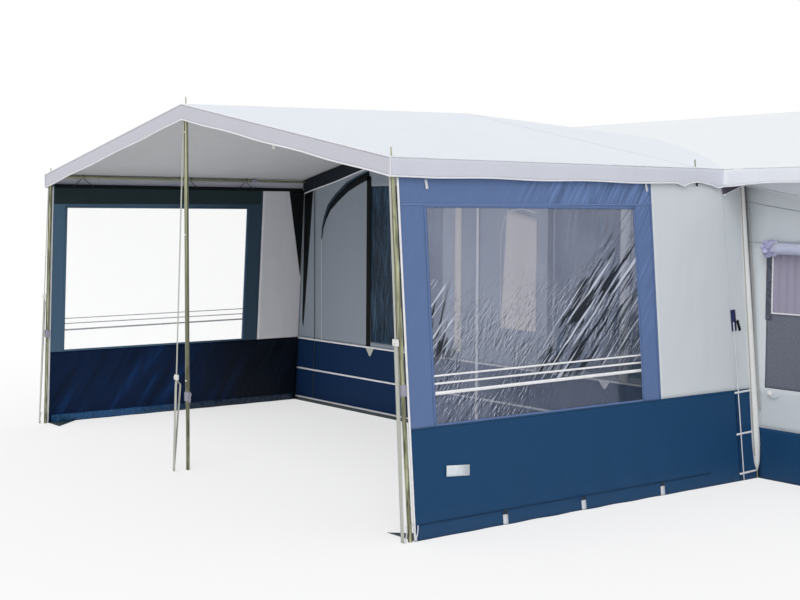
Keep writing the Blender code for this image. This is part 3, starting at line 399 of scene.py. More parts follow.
# %% The cloths
roof_top = woven("roof_top_coat", tint(229, 235, 253), 0.62, 0.05, 0.25, streak=0.035,
                 creased=(1.0, 2.0, 1.0), sheen=0.05, speck=0.12)
roof_lining = woven("roof_lining", tint(182, 182, 184), 0.8, 0.05, 0.3, thread=300.0, speck=0.2)
main_top = woven("main_roof_coat", tint(238, 246, 255), 0.62, 0.04, 0.25, streak=0.03,
                 creased=(1.0, 2.0, 1.0), sheen=0.05, speck=0.12)
# Three copies of one valance cloth: darkest on the front and left, lighter on the canopy's right,
# lightest on the main awning's right, painted shade and painted light by which way each run faces.
valance_front_shaded = woven("valance_front_shaded", tint(198, 199, 208), 0.75, 0.06, 0.35)
valance_side_shaded = woven("valance_side_shaded", tint(209, 212, 222), 0.75, 0.06, 0.35)
valance_main_lit = woven("valance_main_lit", tint(234, 239, 255), 0.7, 0.05, 0.35)
navy_valance = woven("navy_valance", tint(18, 28, 38), 0.7, 0.08, 0.35)
frame_blue = woven("frame_blue", tint(94, 117, 160), 0.75, 0.09, 0.35, creased=(2.2, 0.9, 1.0),
                   specular=0.25, strain=0.4)
frame_seam = woven("frame_seam", tint(104, 126, 170), 0.75, 0.06, 0.2)
# The inner faces take darker copies of the outer cloths: painted shade inside the walls.
frame_dusk = woven("frame_blue_inside", tint(70, 96, 118), 0.8, 0.09, 0.3, specular=0.2,
                   painted_shade=(0.6, 1.85, 0.55))
# A dark sheet for the walls' inner heads: painted shade under the roof's edge.
head_dusk = woven("frame_head_inside", tint(34, 48, 52), 0.8, 0.09, 0.3, specular=0.2)
# A near-black copy of the band's navy: painted shade on the band's inner face and on a shadowed
# seam.
band_dusk = woven("band_navy_shaded", tint(4, 26, 56), 0.6, 0.30, 1.2, specular=0.12,
                  creased=(5.0, 0.8, 1.0), turn=-0.5, streak=0.0, painted_shade=(1.0, 1.9, 0.85),
                  folded=0.5)
hem_blue = woven("hem_blue_inside", tint(26, 78, 124), 0.4, 0.40, 1.4, creased=(9.0, 5.0, 1.0),
                 painted_shade=(0.6, 1.6, 0.8), speck=1.0, speck_scale=38.0)
# A darker copy of the band's navy for the main awning's band under the canopy: painted shade.
centre_navy = woven("centre_navy", tint(14, 40, 74), 0.7, 0.04, 0.25, specular=0.12)
band_navy = woven("band_navy", tint(21, 66, 105), 0.62, 0.04, 0.30, specular=0.2, streak=0.0,
                  creased=(1.4, 0.8, 1.0), turn=0.35, soil=0.03)
wall_grey = woven("wall_grey", tint(208, 214, 218), 0.75, 0.03, 0.3, creased=(1.6, 0.7, 1.0),
                  streak=0.015)
# A slightly darker copy of wall_grey, painted shade, for inner faces and strips in the canopy's
# shade.
wall_dusk = woven("wall_dusk_grey", tint(196, 197, 201), 0.78, 0.05, 0.35,
                  creased=(2.4, 0.7, 1.0), speck=0.12)
# A darker copy of the grey wall cloth for the main awning's wall under the canopy: painted shade.
wall_shade = woven("centre_wall_grey", tint(138, 146, 156), 0.78, 0.06, 0.4,
                   creased=(2.4, 0.7, 1.0))
flap_dark = woven("flap_dark", tint(34, 58, 66), 0.6, 0.12, 0.5, soil=0.15)
# Black cloth for borders, the arch and the binding; the corner wedges also use it as painted
# shade.
black_border = woven("black_border", tint(12, 17, 20), 0.7, 0.15, 0.3, specular=0.15)
blind_lilac = woven("blind_lilac", tint(190, 194, 216), 0.75, 0.22, 0.8, creased=(1.2, 9.0, 1.0))
# Strong blotches give the gathered folds painted highlights and painted shade.
blind_gathered = woven("blind_gathered", tint(172, 172, 204), 0.7, 0.3, 1.2, speck=1.8,
                       speck_scale=30.0)
curtain_mauve = woven("curtain_mauve", tint(156, 152, 170), 0.85, 0.10, 0.5)
curtain_cream = woven("cream_cloth", tint(222, 214, 206), 0.8, 0.08, 0.5)
border_mottled = woven("mottled_border", tint(84, 86, 100), 0.7, 0.2, 0.8, speck=2.6,
                       speck_scale=34.0)
net_dark = woven("window_net", tint(110, 114, 126), 0.8, 0.10, 0.2, thread=420.0, specular=0.2,
                 speck=0.5, speck_scale=70.0)
seam_navy = woven("seam_navy", tint(12, 48, 80), 0.7, 0.05, 0.2, specular=0.2)
zip_grey = woven("zip_grey", tint(164, 164, 160), 0.6, 0.06, 0.2)
roll_pale = woven("roll_pale", tint(220, 221, 220), 0.7, 0.08, 0.4)
seam_grey = woven("seam_grey", tint(158, 166, 168), 0.7, 0.04, 0.2)
# Plum cloth for the recess under the return's hem: painted shade.
recess_shade_plum = woven("recess_shade_plum", tint(88, 82, 98), 0.8, 0.08, 0.4)
flag_navy = woven("flag_navy", tint(28, 36, 84), 0.7, 0.08, 0.3)
webbing = woven("webbing", tint(182, 184, 176), 0.8, 0.10, 0.15, thread=500.0)
webbing_pale = woven("webbing_pale", tint(214, 216, 222), 0.8, 0.08, 0.15, thread=500.0)
print(len(bpy.data.materials), "materials so far")

# %% [markdown]
# ## Clear film
# The windows are a soft, clear film. Haze hides half of what lies behind it, and
# where the film is slack, long slanted creases cut through the haze. Their look is
# painted into the film's colour: each crease is a painted dark streak, the dark
# reflection in the fold, with a painted bright streak of mirrored sky beside it, and
# small crinkles get a painted highlight on one side and painted shade on the other.
# The creases gather where the cloth pulls, at the lower rear corner and along the
# front edge, and only small dashes lie between. So one zone says where, and noise
# stretched along the pull says what: a dark streak, a bright streak or neither.

# %% Film recipe
LIT_STEP = 0.0042     # metres between two looks at a grain, to see its slope


def film(name, haze, veil, bright, dark, zones, turn=0.80, roughness=0.12, specular=0.5):
    """Haze hides a share, `veil`, of what is behind; the zones say where it creases. `bright` and
    `dark` colour its painted reflections, highlights and shade.
    """
    pane = Finish(name, {"Roughness": roughness, "Specular IOR Level": specular})
    along, up = pane.parts(pane.flat_place())
    pulled, front, crinkled, shadow = zones(pane, along, up)

    def grain(squeeze, slant, bend, shift=(0, 0, 0)):
        return pane.noise(pane.flat_place(squeeze, slant, shift), 1.0, 2.2, bend)

    cloud = pane.noise(pane.flat_place((1.6, 0.7, 1.0)), 3.0, 3.0, 0.4)
    long = grain((3.2, 30.0, 1.0), turn, 0.35)
    steep = grain((3.6, 32.0, 1.0), turn + 0.38, 0.25)
    thin = grain((3.5, 70.0, 1.0), turn + 0.05, 0.2)
    glare = grain((2.0, 48.0, 1.0), turn - 0.03, 0.1)
    aside = (-LIT_STEP * math.sin(turn), LIT_STEP * math.cos(turn), 0.0)

    def lit(*noise):
        """A grain less the same grain a step aside: its slopes, as painted highlight and shade."""
        return grain(*noise) - grain(*noise, aside)

    relief = lit((12.0, 58.0, 1.0), turn, 0.7) + lit((8.0, 44.0, 1.0), turn + 0.5, 0.6) * 0.8
    deep = pane.between(long + pulled * 0.07, 0.59, 0.62) * pane.between(pulled, 0.15, 0.6) \
        + pane.between(thin + pulled * 0.03, 0.60, 0.65) * pane.between(pulled, 0.0, 0.3) \
        + pane.between(steep, 0.53, 0.57) * front
    dark_streak = pane.capped(deep, 0.0)
    gleam = pane.between(glare, 0.58, 0.64) * pane.between(pulled + front, 0.05, 0.5)
    base = pane.blend((cloud - 0.5) * 0.5 + 0.15, haze, bright)
    # Painted light: shade, crinkle highlights and shade, a blue tone on steep creases, dark
    # streaks and bright streaks of mirrored sky.
    base = pane.blend(shadow, base, shade(dark, 3.0))
    base = pane.blend(pane.between(relief, 0.02, 0.12) * crinkled * 0.9, base, shade(dark, 1.6))
    base = pane.blend(pane.between(relief, -0.05, -0.18) * crinkled * 0.70, base, bright)
    base = pane.blend(pane.between(steep, 0.52, 0.62) * pulled * 0.55, base, tint(78, 104, 138))
    base = pane.blend(dark_streak, base, dark)
    base = pane.blend(gleam * 0.75, base, bright)
    cover = dark_streak * 0.5 + gleam * 0.45 + shadow * 0.15 \
        + pane.between(relief, 0.03, 0.12) * crinkled * 0.3 \
        + pane.between(relief, -0.05, -0.14) * crinkled * 0.3
    alpha = pane.capped((cloud - 0.5) * 0.2 * veil + veil, cover)
    pane.show(Base_Color=base, Alpha=alpha, Normal=pane.bump(long + relief, 0.010, 0.6))
    pane.material.surface_render_method = "BLENDED"
    return pane.material

# %% Where the films crease
def pulled_corner(pane, along, up):
    """A slanting belt of dark streaks, steep ones in front, crinkles below, and painted shade low
    down and at the rear edge.
    """
    belt = along - (up - 0.83) * 0.83
    pulled = pane.between(belt, 0.84, 1.03) * pane.between(belt, 1.50, 1.20, 0.35, 1.0) \
        * pane.between(up, 0.68, 0.86) * pane.between(up, 1.66, 1.25, 0.15, 1.0)
    front = pane.between(along, 0.40, 0.26) * pane.between(up, 0.84, 0.94) \
        * pane.between(up, 1.36, 1.20)
    low = pane.between(up, 0.86, 0.76)
    patches = pane.between(pane.noise(pane.flat_place(), 4.5, 2.0, 0.6), 0.36, 0.56)
    crinkled = pane.between(up - along * 0.12, 1.36, 0.84) * (patches * 0.7 + 0.3) \
        * (1 - pane.between(along, 0.75, 1.05) * low * 0.85)
    # Painted shade: darker over the pane's lower part, its low corners and near its rear edge.
    shadow = pane.between(up, 1.12, 0.84) * 0.26 + pane.between(along, 0.20, 0.9) * low * 0.4 \
        + pane.between(along, 1.52, 1.60) * low * 0.55 \
        + pane.between(along, 1.50, 1.56) * pane.between(up, 1.14, 1.04) \
        * pane.between(up, 0.80, 0.90) * 0.6
    return pulled, front, crinkled, shadow


def smooth_pane(pane, along, up):
    """No creases at all."""
    none = along * 0.0
    return none, none, none, none


def upright_slack(pane, along, up):
    """Upright dark streaks, painted reflections, all over a dark pane."""
    return along * 0.0 + 0.35, along * 0.0, along * 0.0 + 0.3, along * 0.0

# %% The films
clear_film = film("clear_film", tint(150, 158, 182), 0.33, tint(218, 224, 238),
                  tint(20, 30, 42), pulled_corner, specular=0.3)
# A copy of the clear film with near-white haze: painted light, for the daylight that shines
# through it from behind.
left_film = film("left_clear_film", tint(246, 250, 252), 0.06, tint(255, 255, 255),
                 tint(230, 236, 240), smooth_pane)
# A nearly opaque dark pane, with upright streaks and bright edges that are painted reflections.
dark_film = film("tinted_film", tint(20, 34, 48), 0.88, tint(80, 112, 140), tint(6, 10, 16),
                 upright_slack, turn=1.50, specular=0.15, roughness=0.3)
print("films made")

# %% [markdown]
# ## Steel, moulded plastic and piping
# The poles are steel tube with a thin, yellowish zinc coat. The tubes are drawn and
# handled lengthwise, so fine scratches run along them, and the coat is cloudy with
# dull and bright patches. The posts get bright and dark streaks along them, painted
# reflections, and darker spots low down. Clamps and buckles are moulded plastic with a
# fine grain. Piping is a soft white cord welded into the hems. The imported steel and
# plastic get their finishes here by name.

# %% Steel and plastic recipes
def zinc_steel(name, colour, streaked=0.0):
    """Clouds of coat over steel, scratches stretched along the tube, and dull patches.

    `streaked` adds bright and dark streaks up a post, painted reflections, and darker spots on its
    lower half.
    """
    steel = Finish(name, {"Metallic": 0.85, "Coat Weight": 0.1, "Coat Roughness": 0.3})
    place = steel.solid_place()
    clouds = steel.noise(place, 14.0, 4.0, 0.5)
    fine = steel.noise(place, 90.0, 2.0)
    scratch = steel.noise(steel.solid_place((260.0, 260.0, 5.0)), 1.0, 2.0)
    dull = steel.between(steel.noise(place, 38.0, 3.0), 0.62, 0.74)
    base = steel.blend(clouds, shade(colour, 0.72), shade(colour, 1.25))
    base = steel.blend(dull * 0.5, base, tint(120, 118, 84))
    if streaked:
        streak = steel.noise(steel.solid_place((75.0, 75.0, 0.7)), 1.0, 1.0)
        low_spots = steel.noise(steel.solid_place((60.0, 60.0, 9.0)), 1.0, 3.0)
        height = steel.add("ShaderNodeSeparateXYZ", {}, {"Vector": place}, 2)
        # Painted reflections: dark and bright streaks up the post.
        base = steel.blend(steel.between(streak, 0.50, 0.60) * streaked, base, shade(colour, 0.35))
        base = steel.blend(steel.between(streak, 0.46, 0.34) * streaked, base, shade(colour, 1.7))
        base = steel.blend(steel.between(low_spots, 0.48, 0.60) * steel.between(height, 1.0, 0.5)
                           * streaked, base, tint(66, 72, 48))
    rough = clouds * 0.18 + scratch * 0.14 + dull * 0.15 + 0.22
    steel.show(Base_Color=base, Roughness=rough, Normal=steel.bump(scratch + fine, 0.0004, 0.4))
    return steel.material


def moulded(name, colour, roughness=0.5, grain=420.0):
    """Fine grain in the bump, and a worn, paler tone in broad patches."""
    plastic = Finish(name, {"Specular IOR Level": 0.45})
    place = plastic.solid_place()
    grains = plastic.noise(place, grain, 2.0)
    worn = plastic.noise(place, 30.0, 3.0, 0.6)
    plastic.show(Base_Color=plastic.blend(worn, shade(colour, 0.86), shade(colour, 1.14)),
                 Roughness=(worn - 0.5) * 0.2 + roughness,
                 Normal=plastic.bump(grains, 0.0003, 0.35))
    return plastic.material

# %% Steel, plastic and piping
zinc = zinc_steel("zinc_coated_steel", tint(158, 160, 134))
post_steel = zinc_steel("zinc_coated_post", tint(158, 160, 132), 0.7)
clamp_grey = moulded("clamp_plastic", tint(150, 148, 164), 0.5)
buckle_white = moulded("buckle_plastic", tint(226, 226, 224), 0.4)
piping_white = moulded("white_piping", tint(232, 232, 236), 0.45, 900.0)
stripe_white = moulded("white_stripe", tint(240, 242, 246), 0.5, 600.0)
stripe_dusk = moulded("shaded_stripe", tint(150, 152, 158), 0.6, 600.0)
thread_white = moulded("white_thread", tint(236, 236, 238), 0.7, 800.0)
cord_dark = moulded("dark_cord", tint(52, 56, 54), 0.7, 800.0)
label_pale = moulded("bare_patch", tint(214, 222, 228), 0.5, 700.0)

FINISH_OF = {"zinc_steel": zinc, "clamp_plastic": clamp_grey, "buckle_plastic": buckle_white}
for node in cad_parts.values():
    old = node.material_slots[0].material.name.split(".")[0]
    if old in FINISH_OF:
        post = node.name.endswith(("_upright", "_leg"))
        node.material_slots[0].material = post_steel if post else FINISH_OF[old]
print("steel and plastic put on the packed nodes")

# %% [markdown]
# ## Sheets from a grid of points
# A cloth panel is a grid of points worked out from two measures, such as along the
# wall and up it. A real panel has a front and a back, so the grid is copied inwards
# by the cloth's thickness and joined along its free edges, which leaves a closed
# shell. Openings are left out of the grid by a mask before the edges are joined. The
# two measures are also kept as the sheet's flat map, for the weave.

# %% Grid helpers
def spots(marks, pitch):
    """Places that take in every mark, and are about one pitch apart between them."""
    runs = [np.linspace(a, b, max(round(abs(b - a) / pitch), 1), endpoint=False)
            for a, b in zip(marks, marks[1:])]
    return np.append(np.concatenate(runs), marks[-1])


def at(*measures):
    """Places, or flat places, from a number or an array for each of their measures."""
    return np.stack(np.broadcast_arrays(*measures), -1)


def unit(vectors):
    """Vectors scaled to length one."""
    return vectors / np.maximum(np.linalg.norm(vectors, axis=-1, keepdims=True), 1e-9)


def far_along(path):
    """Each point's distance from the first, measured along the path."""
    return np.concatenate([[0], np.cumsum(np.linalg.norm(np.diff(path, axis=0), axis=1))])

# %% Meshes and pieces
def make_mesh(name, points, faces, smooth, flat, materials, which):
    """Points, faces, smooth flags, the flat map and the material numbers into a mesh."""
    mesh = bpy.data.meshes.new(name)
    mesh.from_pydata(points.tolist(), [], faces)
    mesh.polygons.foreach_set("use_smooth", smooth)
    mesh.polygons.foreach_set("material_index", which)
    corners = np.empty(len(mesh.loops), dtype=np.int32)
    mesh.loops.foreach_get("vertex_index", corners)
    layer = mesh.uv_layers.new(name="flat")
    layer.data.foreach_set("uv", flat[corners].ravel())
    for material in materials:
        mesh.materials.append(material)
    mesh.update()
    return mesh


def put(mesh, stands_for=()):
    """A finished mesh as a piece: it rides on the awning and hides the packed nodes it stands for.
    """
    piece = bpy.data.objects.new(mesh.name, mesh)
    bpy.context.scene.collection.objects.link(piece)
    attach(piece, "awning")
    if stands_for:
        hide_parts(*stands_for)
    return piece

# %% A shell of cloth
def cloth(name, points, flat, finish, slot, thick=0.002, keep=None, lining=None,
          stands_for=(), second=None, where=None):
    """A shell: the grid faces out by rows cross columns, its copy lies inside it.

    `second` is a further finish or a list of them, and `where` numbers them by face.
    """
    rows, columns = points.shape[:2]
    count = rows * columns
    out = unit(np.cross(np.gradient(points, axis=0), np.gradient(points, axis=1)))
    both = np.concatenate([points.reshape(-1, 3), (points - out * thick).reshape(-1, 3)])
    number = np.arange(count).reshape(rows, columns)
    quads = np.stack([number[:-1, :-1], number[1:, :-1], number[1:, 1:], number[:-1, 1:]], -1)
    keep = np.ones(quads.shape[:2], bool) if keep is None else keep
    quads = quads[keep]
    # An edge that one face alone uses is free, and the rim joins it to its copy.
    edges = np.stack([quads, np.roll(quads, -1, 1)], -1).reshape(-1, 2)
    key = np.sort(edges, 1) @ np.array([count, 1])
    _, first, times = np.unique(key, return_index=True, return_counts=True)
    free = edges[first[times == 1]]
    rim = np.stack([free[:, 1], free[:, 0], free[:, 0] + count, free[:, 1] + count], -1)
    faces = np.concatenate([quads, quads[:, ::-1] + count, rim])
    used, faces = np.unique(faces, return_inverse=True)
    faces = faces.reshape(-1, 4)
    smooth = np.ones(len(faces), bool)
    smooth[2 * len(quads):] = False
    which = np.zeros(len(faces), np.int32)
    materials = [finish]
    if second is not None:
        which[:2 * len(quads)] = np.tile(where[keep], 2)
        materials += second if isinstance(second, list) else [second]
    if lining is not None:
        which[len(quads):2 * len(quads)] = len(materials)
        materials.append(lining)
    measure = np.concatenate([flat.reshape(-1, 2)] * 2)[used]
    mesh = make_mesh(name, both[used], faces.tolist(), smooth, measure, materials, which)
    return put(mesh, stands_for)

# %% Tubes, cords and tapes
def tube(name, rings, flat, finish, stands_for=()):
    """Rings of points joined into a tube by squares; the first and last ring are closed."""
    count, sides = rings.shape[:2]
    number = np.arange(count * sides).reshape(count, sides)
    onward = np.roll(number, -1, 1)
    quads = np.stack([number[:-1], number[1:], onward[1:], onward[:-1]], -1).reshape(-1, 4)
    faces = quads.tolist() + [number[0].tolist(), number[-1, ::-1].tolist()]
    smooth = np.ones(len(faces), bool)
    smooth[-2:] = False
    mesh = make_mesh(name, rings.reshape(-1, 3), faces, smooth, flat.reshape(-1, 2), [finish],
                     np.zeros(len(faces), np.int32))
    return put(mesh, stands_for)


def cord_like(name, path, radius, finish, slot, up=(0, 0, 1), sides=10):
    """A round bar along a path: rings of the radius square to the path, ends closed."""
    path = np.asarray(path, float)
    along = unit(np.gradient(path, axis=0))
    side = unit(np.cross(along, np.asarray(up, float)))
    other = np.cross(side, along)
    angle = np.linspace(0, 2 * math.pi, sides, endpoint=False)[None, :, None]
    radius = np.broadcast_to(np.asarray(radius, float), len(path))[:, None, None]
    square = np.cos(angle) * side[:, None] + np.sin(angle) * other[:, None]
    flat = at(far_along(path)[:, None], np.arange(sides)[None] * 0.002)
    return tube(name, path[:, None] + radius * square, flat, finish)


def tape(name, path, across, width, finish, slot, thick):
    """A flat strip: the path carried to both sides along the across direction.

    Its outer face looks along the path's direction cross the across direction.
    """
    across = unit(np.asarray(across, float))
    edges = width * np.linspace(-0.5, 0.5, 3)[None]
    points = path[:, None] + across * edges[..., None]
    return cloth(name, points, at(far_along(path)[:, None], edges), finish, slot, thick)

# %% Slack
def ripple(u, v, size, seed):
    """Slack in a cloth: twelve sine waves of set random slant and length, added up."""
    rng = np.random.default_rng(seed)
    angle, phase = rng.uniform(0, math.pi, 12), rng.uniform(0, 2 * math.pi, 12)
    waves = 2 * math.pi / (size * rng.uniform(0.5, 1.6, 12))
    return sum(np.sin(k * (u * math.cos(a) + v * math.sin(a)) + p)
               for k, a, p in zip(waves, angle, phase)) / 12


def dome(value, low, high):
    """0 at both ends of a span and 1 in its middle, as half a sine."""
    return np.sin(math.pi * np.clip((value - low) / (high - low), 0, 1))

# %% [markdown]
# ## The canopy's roof
# One sheet runs over the ridge pole and down to both eaves. It is stretched between
# the poles and sags a little in the middle of each slope. It could be two flat
# halves, but light on a real roof shows that it is one curved sheet, so the whole
# roof is one grid across and along. Slack makes shallow waves, strongest in the
# middle of each slope and none over the poles.

# %% Canopy roof
ROOF_SAG, ROOF_WAVE, SAG_START_Y = 0.014, 0.0016, 0.028
x, y = np.meshgrid(spots([-ROOF_HALF, 0.0, ROOF_HALF], 0.036),
                   spots([FRONT_Y, SAG_START_Y, CANOPY_DEPTH], 0.036), indexing="ij")
free = dome(np.abs(x), 0, ROOF_HALF) * dome(y, SAG_START_Y, CANOPY_DEPTH)
z = gable_z(x, y) - ROOF_SAG * free + ROOF_WAVE * free * ripple(x, y, 0.5, 3)
slope_x = x * math.hypot(1, (APEX_Z - EAVE_Z) / ROOF_HALF)
canopy_roof = cloth("canopy_roof_cloth", at(x, y, z), at(slope_x, y), roof_top, "roof_cloth",
                    0.003, lining=roof_lining, stands_for=["canopy_roof"])
print("canopy roof", x.shape, "points")

# %% [markdown]
# ## The main roof
# The canopy's gable runs on into the wide roof behind it and dies out in a valley,
# where the slope to the caravan takes over. Left and right of the gable the slope
# begins at its own front edge. It is one sheet again: every column of the grid has
# its crease exactly in the valley, so the fold is sharp without many points.

# %% Main roof
GABLE_ROWS, SLOPE_ROWS, MAIN_SAG = 32, 44, 0.0015
HAIR = 1e-6     # a hair's breadth, more than rounding can move a column
columns = spots([-ROOF_HALF, 0.0, ROOF_HALF, ROOF_END_X], 0.045)
fold = np.where(np.abs(columns) <= ROOF_HALF + HAIR, valley_y(columns), ROOF_FRONT_Y)[:, None]
gable_front = CANOPY_DEPTH + GAP
y = np.hstack([gable_front + (fold - gable_front) * np.linspace(0, 1, GABLE_ROWS + 1),
               fold + (REAR_Y - fold) * np.linspace(0, 1, SLOPE_ROWS + 1)[1:]])
x = np.broadcast_to(columns[:, None], y.shape)
share = dome(np.abs(x) % (2 * ROOF_HALF), 0, ROOF_HALF) * dome(y, fold, REAR_Y)
z = main_roof_z(x, y) + MAIN_SAG * share * (ripple(x, y, 0.6, 5) - 1)
on_gable = np.broadcast_to(np.arange(GABLE_ROWS + SLOPE_ROWS) < GABLE_ROWS,
                           (len(columns) - 1, GABLE_ROWS + SLOPE_ROWS))
keep = ~(on_gable & (columns[:-1] >= ROOF_HALF - HAIR)[:, None])
main_roof = cloth("main_roof_cloth", at(x, y, z), at(x, y * 1.03), main_top, "roof_cloth", 0.003,
                  keep, roof_lining, stands_for=["main_roof"], second=roof_top, where=on_gable)
print("main roof", x.shape, "points")

# %% [markdown]
# ## The valances
# A strip of cloth hangs from the roof's edge all round. Its foot is not straight: it
# waves a little out and in, and a white cord is welded into its hem. The strip is
# worked out along a route of corners: the measure along the route picks the place,
# and the measure down the strip lowers it from the roof. The same route, at the
# strip's foot, carries the piping.

# %% Valance strips
def along_route(corners, far):
    """The place and the outward direction at a distance along a route of corners.

    Outwards is the run's direction turned a quarter clockwise, seen from above.
    """
    runs, ends = np.diff(corners, axis=0), far_along(corners)
    leg = np.clip(np.searchsorted(ends, far, side="right") - 1, 0, len(runs) - 1)
    way = unit(runs)[leg]
    place = corners[leg] + way * (far - ends[leg])[:, None]
    return place, at(way[:, 1], -way[:, 0])


VALANCE_ROWS, LOOSE_FROM = 6, 0.25


def valance(name, corners, roof, drop, finish, seed, stands_for, flare=0.004, turns=None,
            dips=()):
    """A strip hung from the roof along the route; its foot waves and flares outwards.

    `turns` gives, for a corner's number, the finish that begins there. A dip is a
    place along the route, a width and a depth, where the foot hangs lower.
    """
    corners, turns = np.asarray(corners, float), turns or {}
    ends = far_along(corners)
    far = spots(list(ends), 0.03)
    place, out = along_route(corners, far)
    near = np.min(np.abs(far[:, None] - ends[None]), axis=1)
    loose = np.clip(near / LOOSE_FROM, 0, 1)[:, None]
    down = np.linspace(0, 1, VALANCE_ROWS + 1)[None]
    inside = place - out * CLOTH
    top = np.minimum(roof(*place.T), roof(*inside.T))[:, None] - CLOTH - GAP
    foot = drop + 0.003 * np.sin(far * 8.3 + seed)[:, None] * loose
    for middle, width, depth in dips:
        foot = foot + depth * np.exp(-((far - middle) / width) ** 2)[:, None]
    swing = flare * down ** 1.5 * loose * (0.4 + ripple(far, 0 * far, 0.45, seed)[:, None] * 1.6)
    xy = place[:, None] + out[:, None] * swing[..., None]
    points = np.concatenate([xy, (top - foot * down)[..., None]], -1)
    flat = at(far[:, None], -foot * down)
    middles = (far[:-1] + far[1:])[:, None] / 2
    later = (middles > ends[list(turns)]).sum(axis=1, keepdims=True)
    strip = cloth(name, points[:, ::-1], flat[:, ::-1], finish, "valance_cloth",
                  stands_for=stands_for, second=list(turns.values()),
                  where=np.broadcast_to(later, (len(middles), VALANCE_ROWS)))
    line = points[:, -1] - at(*out.T * 0.001, 0)
    cord_like(name + "_piping", line, 0.0045, piping_white, "valance_cloth")
    return strip, ends[-1]


def roof_at(x, y):
    """The roof's height over both roofs, as the canopy's roof ends where the wide one begins."""
    return np.where(y < CANOPY_DEPTH, gable_z(x, y), main_roof_z(x, y))

# %% Hang the valances
# The runs change finish by which way they face: painted shade and painted light.
strip, length = valance("outer_valance_cloth",
                        [(-ROOF_HALF, REAR_Y), (-ROOF_HALF, ROOF_FRONT_Y), (-ROOF_HALF, FRONT_Y),
                         (0, FRONT_Y), (ROOF_HALF, FRONT_Y), (ROOF_HALF, ROOF_FRONT_Y),
                         (ROOF_END_X, ROOF_FRONT_Y), (ROOF_END_X, REAR_Y)],
                        roof_at, 0.093, valance_front_shaded, 2, ["canopy_valance", "main_valance"],
                        turns={4: valance_side_shaded, 5: valance_main_lit},
                        dips=[(11.73, 0.035, 0.018), (11.87, 0.07, -0.012), (12.05, 0.04, 0.014),
                              (12.14, 0.12, 0.010), (12.60, 0.25, -0.007)])
front = CANOPY_DEPTH - CLOTH
strip, length = valance("inner_valance_cloth",
                        [(-ROOF_HALF + 0.006, front), (0, front), (ROOF_HALF - 0.006, front)],
                        main_roof_z, 0.115, navy_valance, 4, ["main_valance"], flare=0.0)
print("valances hung")

# %% [markdown]
# ## The canopy's side walls
# Each side wall leans out to its foot. Its upper part is a blue frame round a large
# clear window, with a grey panel behind it, and its lower part is a navy band whose
# hem is drawn in by folds. The frame is one grid with the window left out by a mask.
# The slack pulls every panel a few millimetres inwards, away from its edges, so the
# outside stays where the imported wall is.

# %% Side wall sheets
WINDOW_Y, WINDOW_Z = (0.1358, 1.7550), (0.5750, 1.6900)
PANE_FRONT_Y = {"left": 0.1358, "right": 0.1950}
FRAME_REAR_Y, WALL_TOP_Z, WALL_NOTCH_Z = 1.900, 1.865, 1.8334
POLE_REAR_Y = CANOPY_DEPTH - CLOTH - GAP
FOLD_DEPTH, FOLD_PITCH = 0.010, 0.31


def side_sheet(name, side, ys, zs, pull, finish, slot, thick=0.002, keep=None, **more):
    """Places on a leaning side wall, pulled inwards by pull(y, z); it faces outwards."""
    y, z = np.meshgrid(ys, zs, indexing="ij")
    points, flat = at(side * (half_width(z) - pull(y, z)), y, z), at(y, z)
    order = slice(None, None, side)     # backwards on the left, so it still faces outwards
    if keep is not None:
        keep = keep[order]
    return cloth(name, points[order], flat[order], finish, slot, thick, keep, **more)


def without(ys, zs, hole_y, hole_z):
    """True for the grid's faces, but not for those inside the hole."""
    y, z = (ys[:-1] + ys[1:]) / 2, (zs[:-1] + zs[1:]) / 2
    in_y, in_z = (y > hole_y[0]) & (y < hole_y[1]), (z > hole_z[0]) & (z < hole_z[1])
    return ~(in_y[:, None] & in_z[None])

# %% Folds, slack and creases
def hem_shift(y):
    """The folds draw the hem in by up to a centimetre, most in the wall's middle."""
    swell = dome(y, WALL_FRONT_Y, CANOPY_DEPTH)
    return FOLD_DEPTH * swell * (np.sin(2 * math.pi * y / FOLD_PITCH) - 1) / 2


def slack(y, z, low, high, depth, size, seed):
    """How far a panel is pulled in: nothing at its edges, waves in its middle."""
    soft = np.clip(np.minimum(y - low[0], high[0] - y) / 0.09, 0, 1)
    soft = soft * np.clip(np.minimum(z - low[1], high[1] - z) / 0.09, 0, 1)
    return depth * soft * (1 + ripple(y, z, size, seed) * 1.8)


def tension(y, z):
    """Creases that fan out from the window's upper rear corner, in the cloth above it."""
    away = (y - 1.0) + (z - 1.76) * 0.45
    near = np.clip(1 - np.abs(z - 1.76) / 0.07, 0, 1) * dome(y, 0.6, 1.75)
    return 0.0012 * near * (1 + np.sin(away * 2 * math.pi / 0.062))


def skirt_pull(y, z):
    """The band's folds, its slack, the hem's seam and one long slanting crease."""
    slant = np.abs((y - 0.03) * 0.75 - (z - 0.04) * 0.66)
    crease = 0.0035 * np.exp(-(slant / 0.018) ** 2) * dome(z, 0.0, 0.42) * dome(y, -0.1, 0.5)
    seam = 0.0022 * np.exp(-((z - 0.078) / 0.007) ** 2) * (0.7 + ripple(y, z, 0.3, 5))
    return -hem_shift(y) * (1 - z / BAND_TOP) + crease + seam \
        + slack(y, z, (WALL_FRONT_Y, 0), (OUTER_Y, BAND_TOP), 0.0020, 0.40, 18)


def frame_pull(y, z):
    """The blue frame's creases and slack."""
    return tension(y, z) + 0.0008 * (1 + ripple(y, z, 0.2, 11))


def panel_pull(y, z):
    """The grey panel's slack, none at its edges."""
    return slack(y, z, (FRAME_REAR_Y, BAND_TOP), (OUTER_Y, WALL_TOP_Z), 0.0020, 0.45, 13)

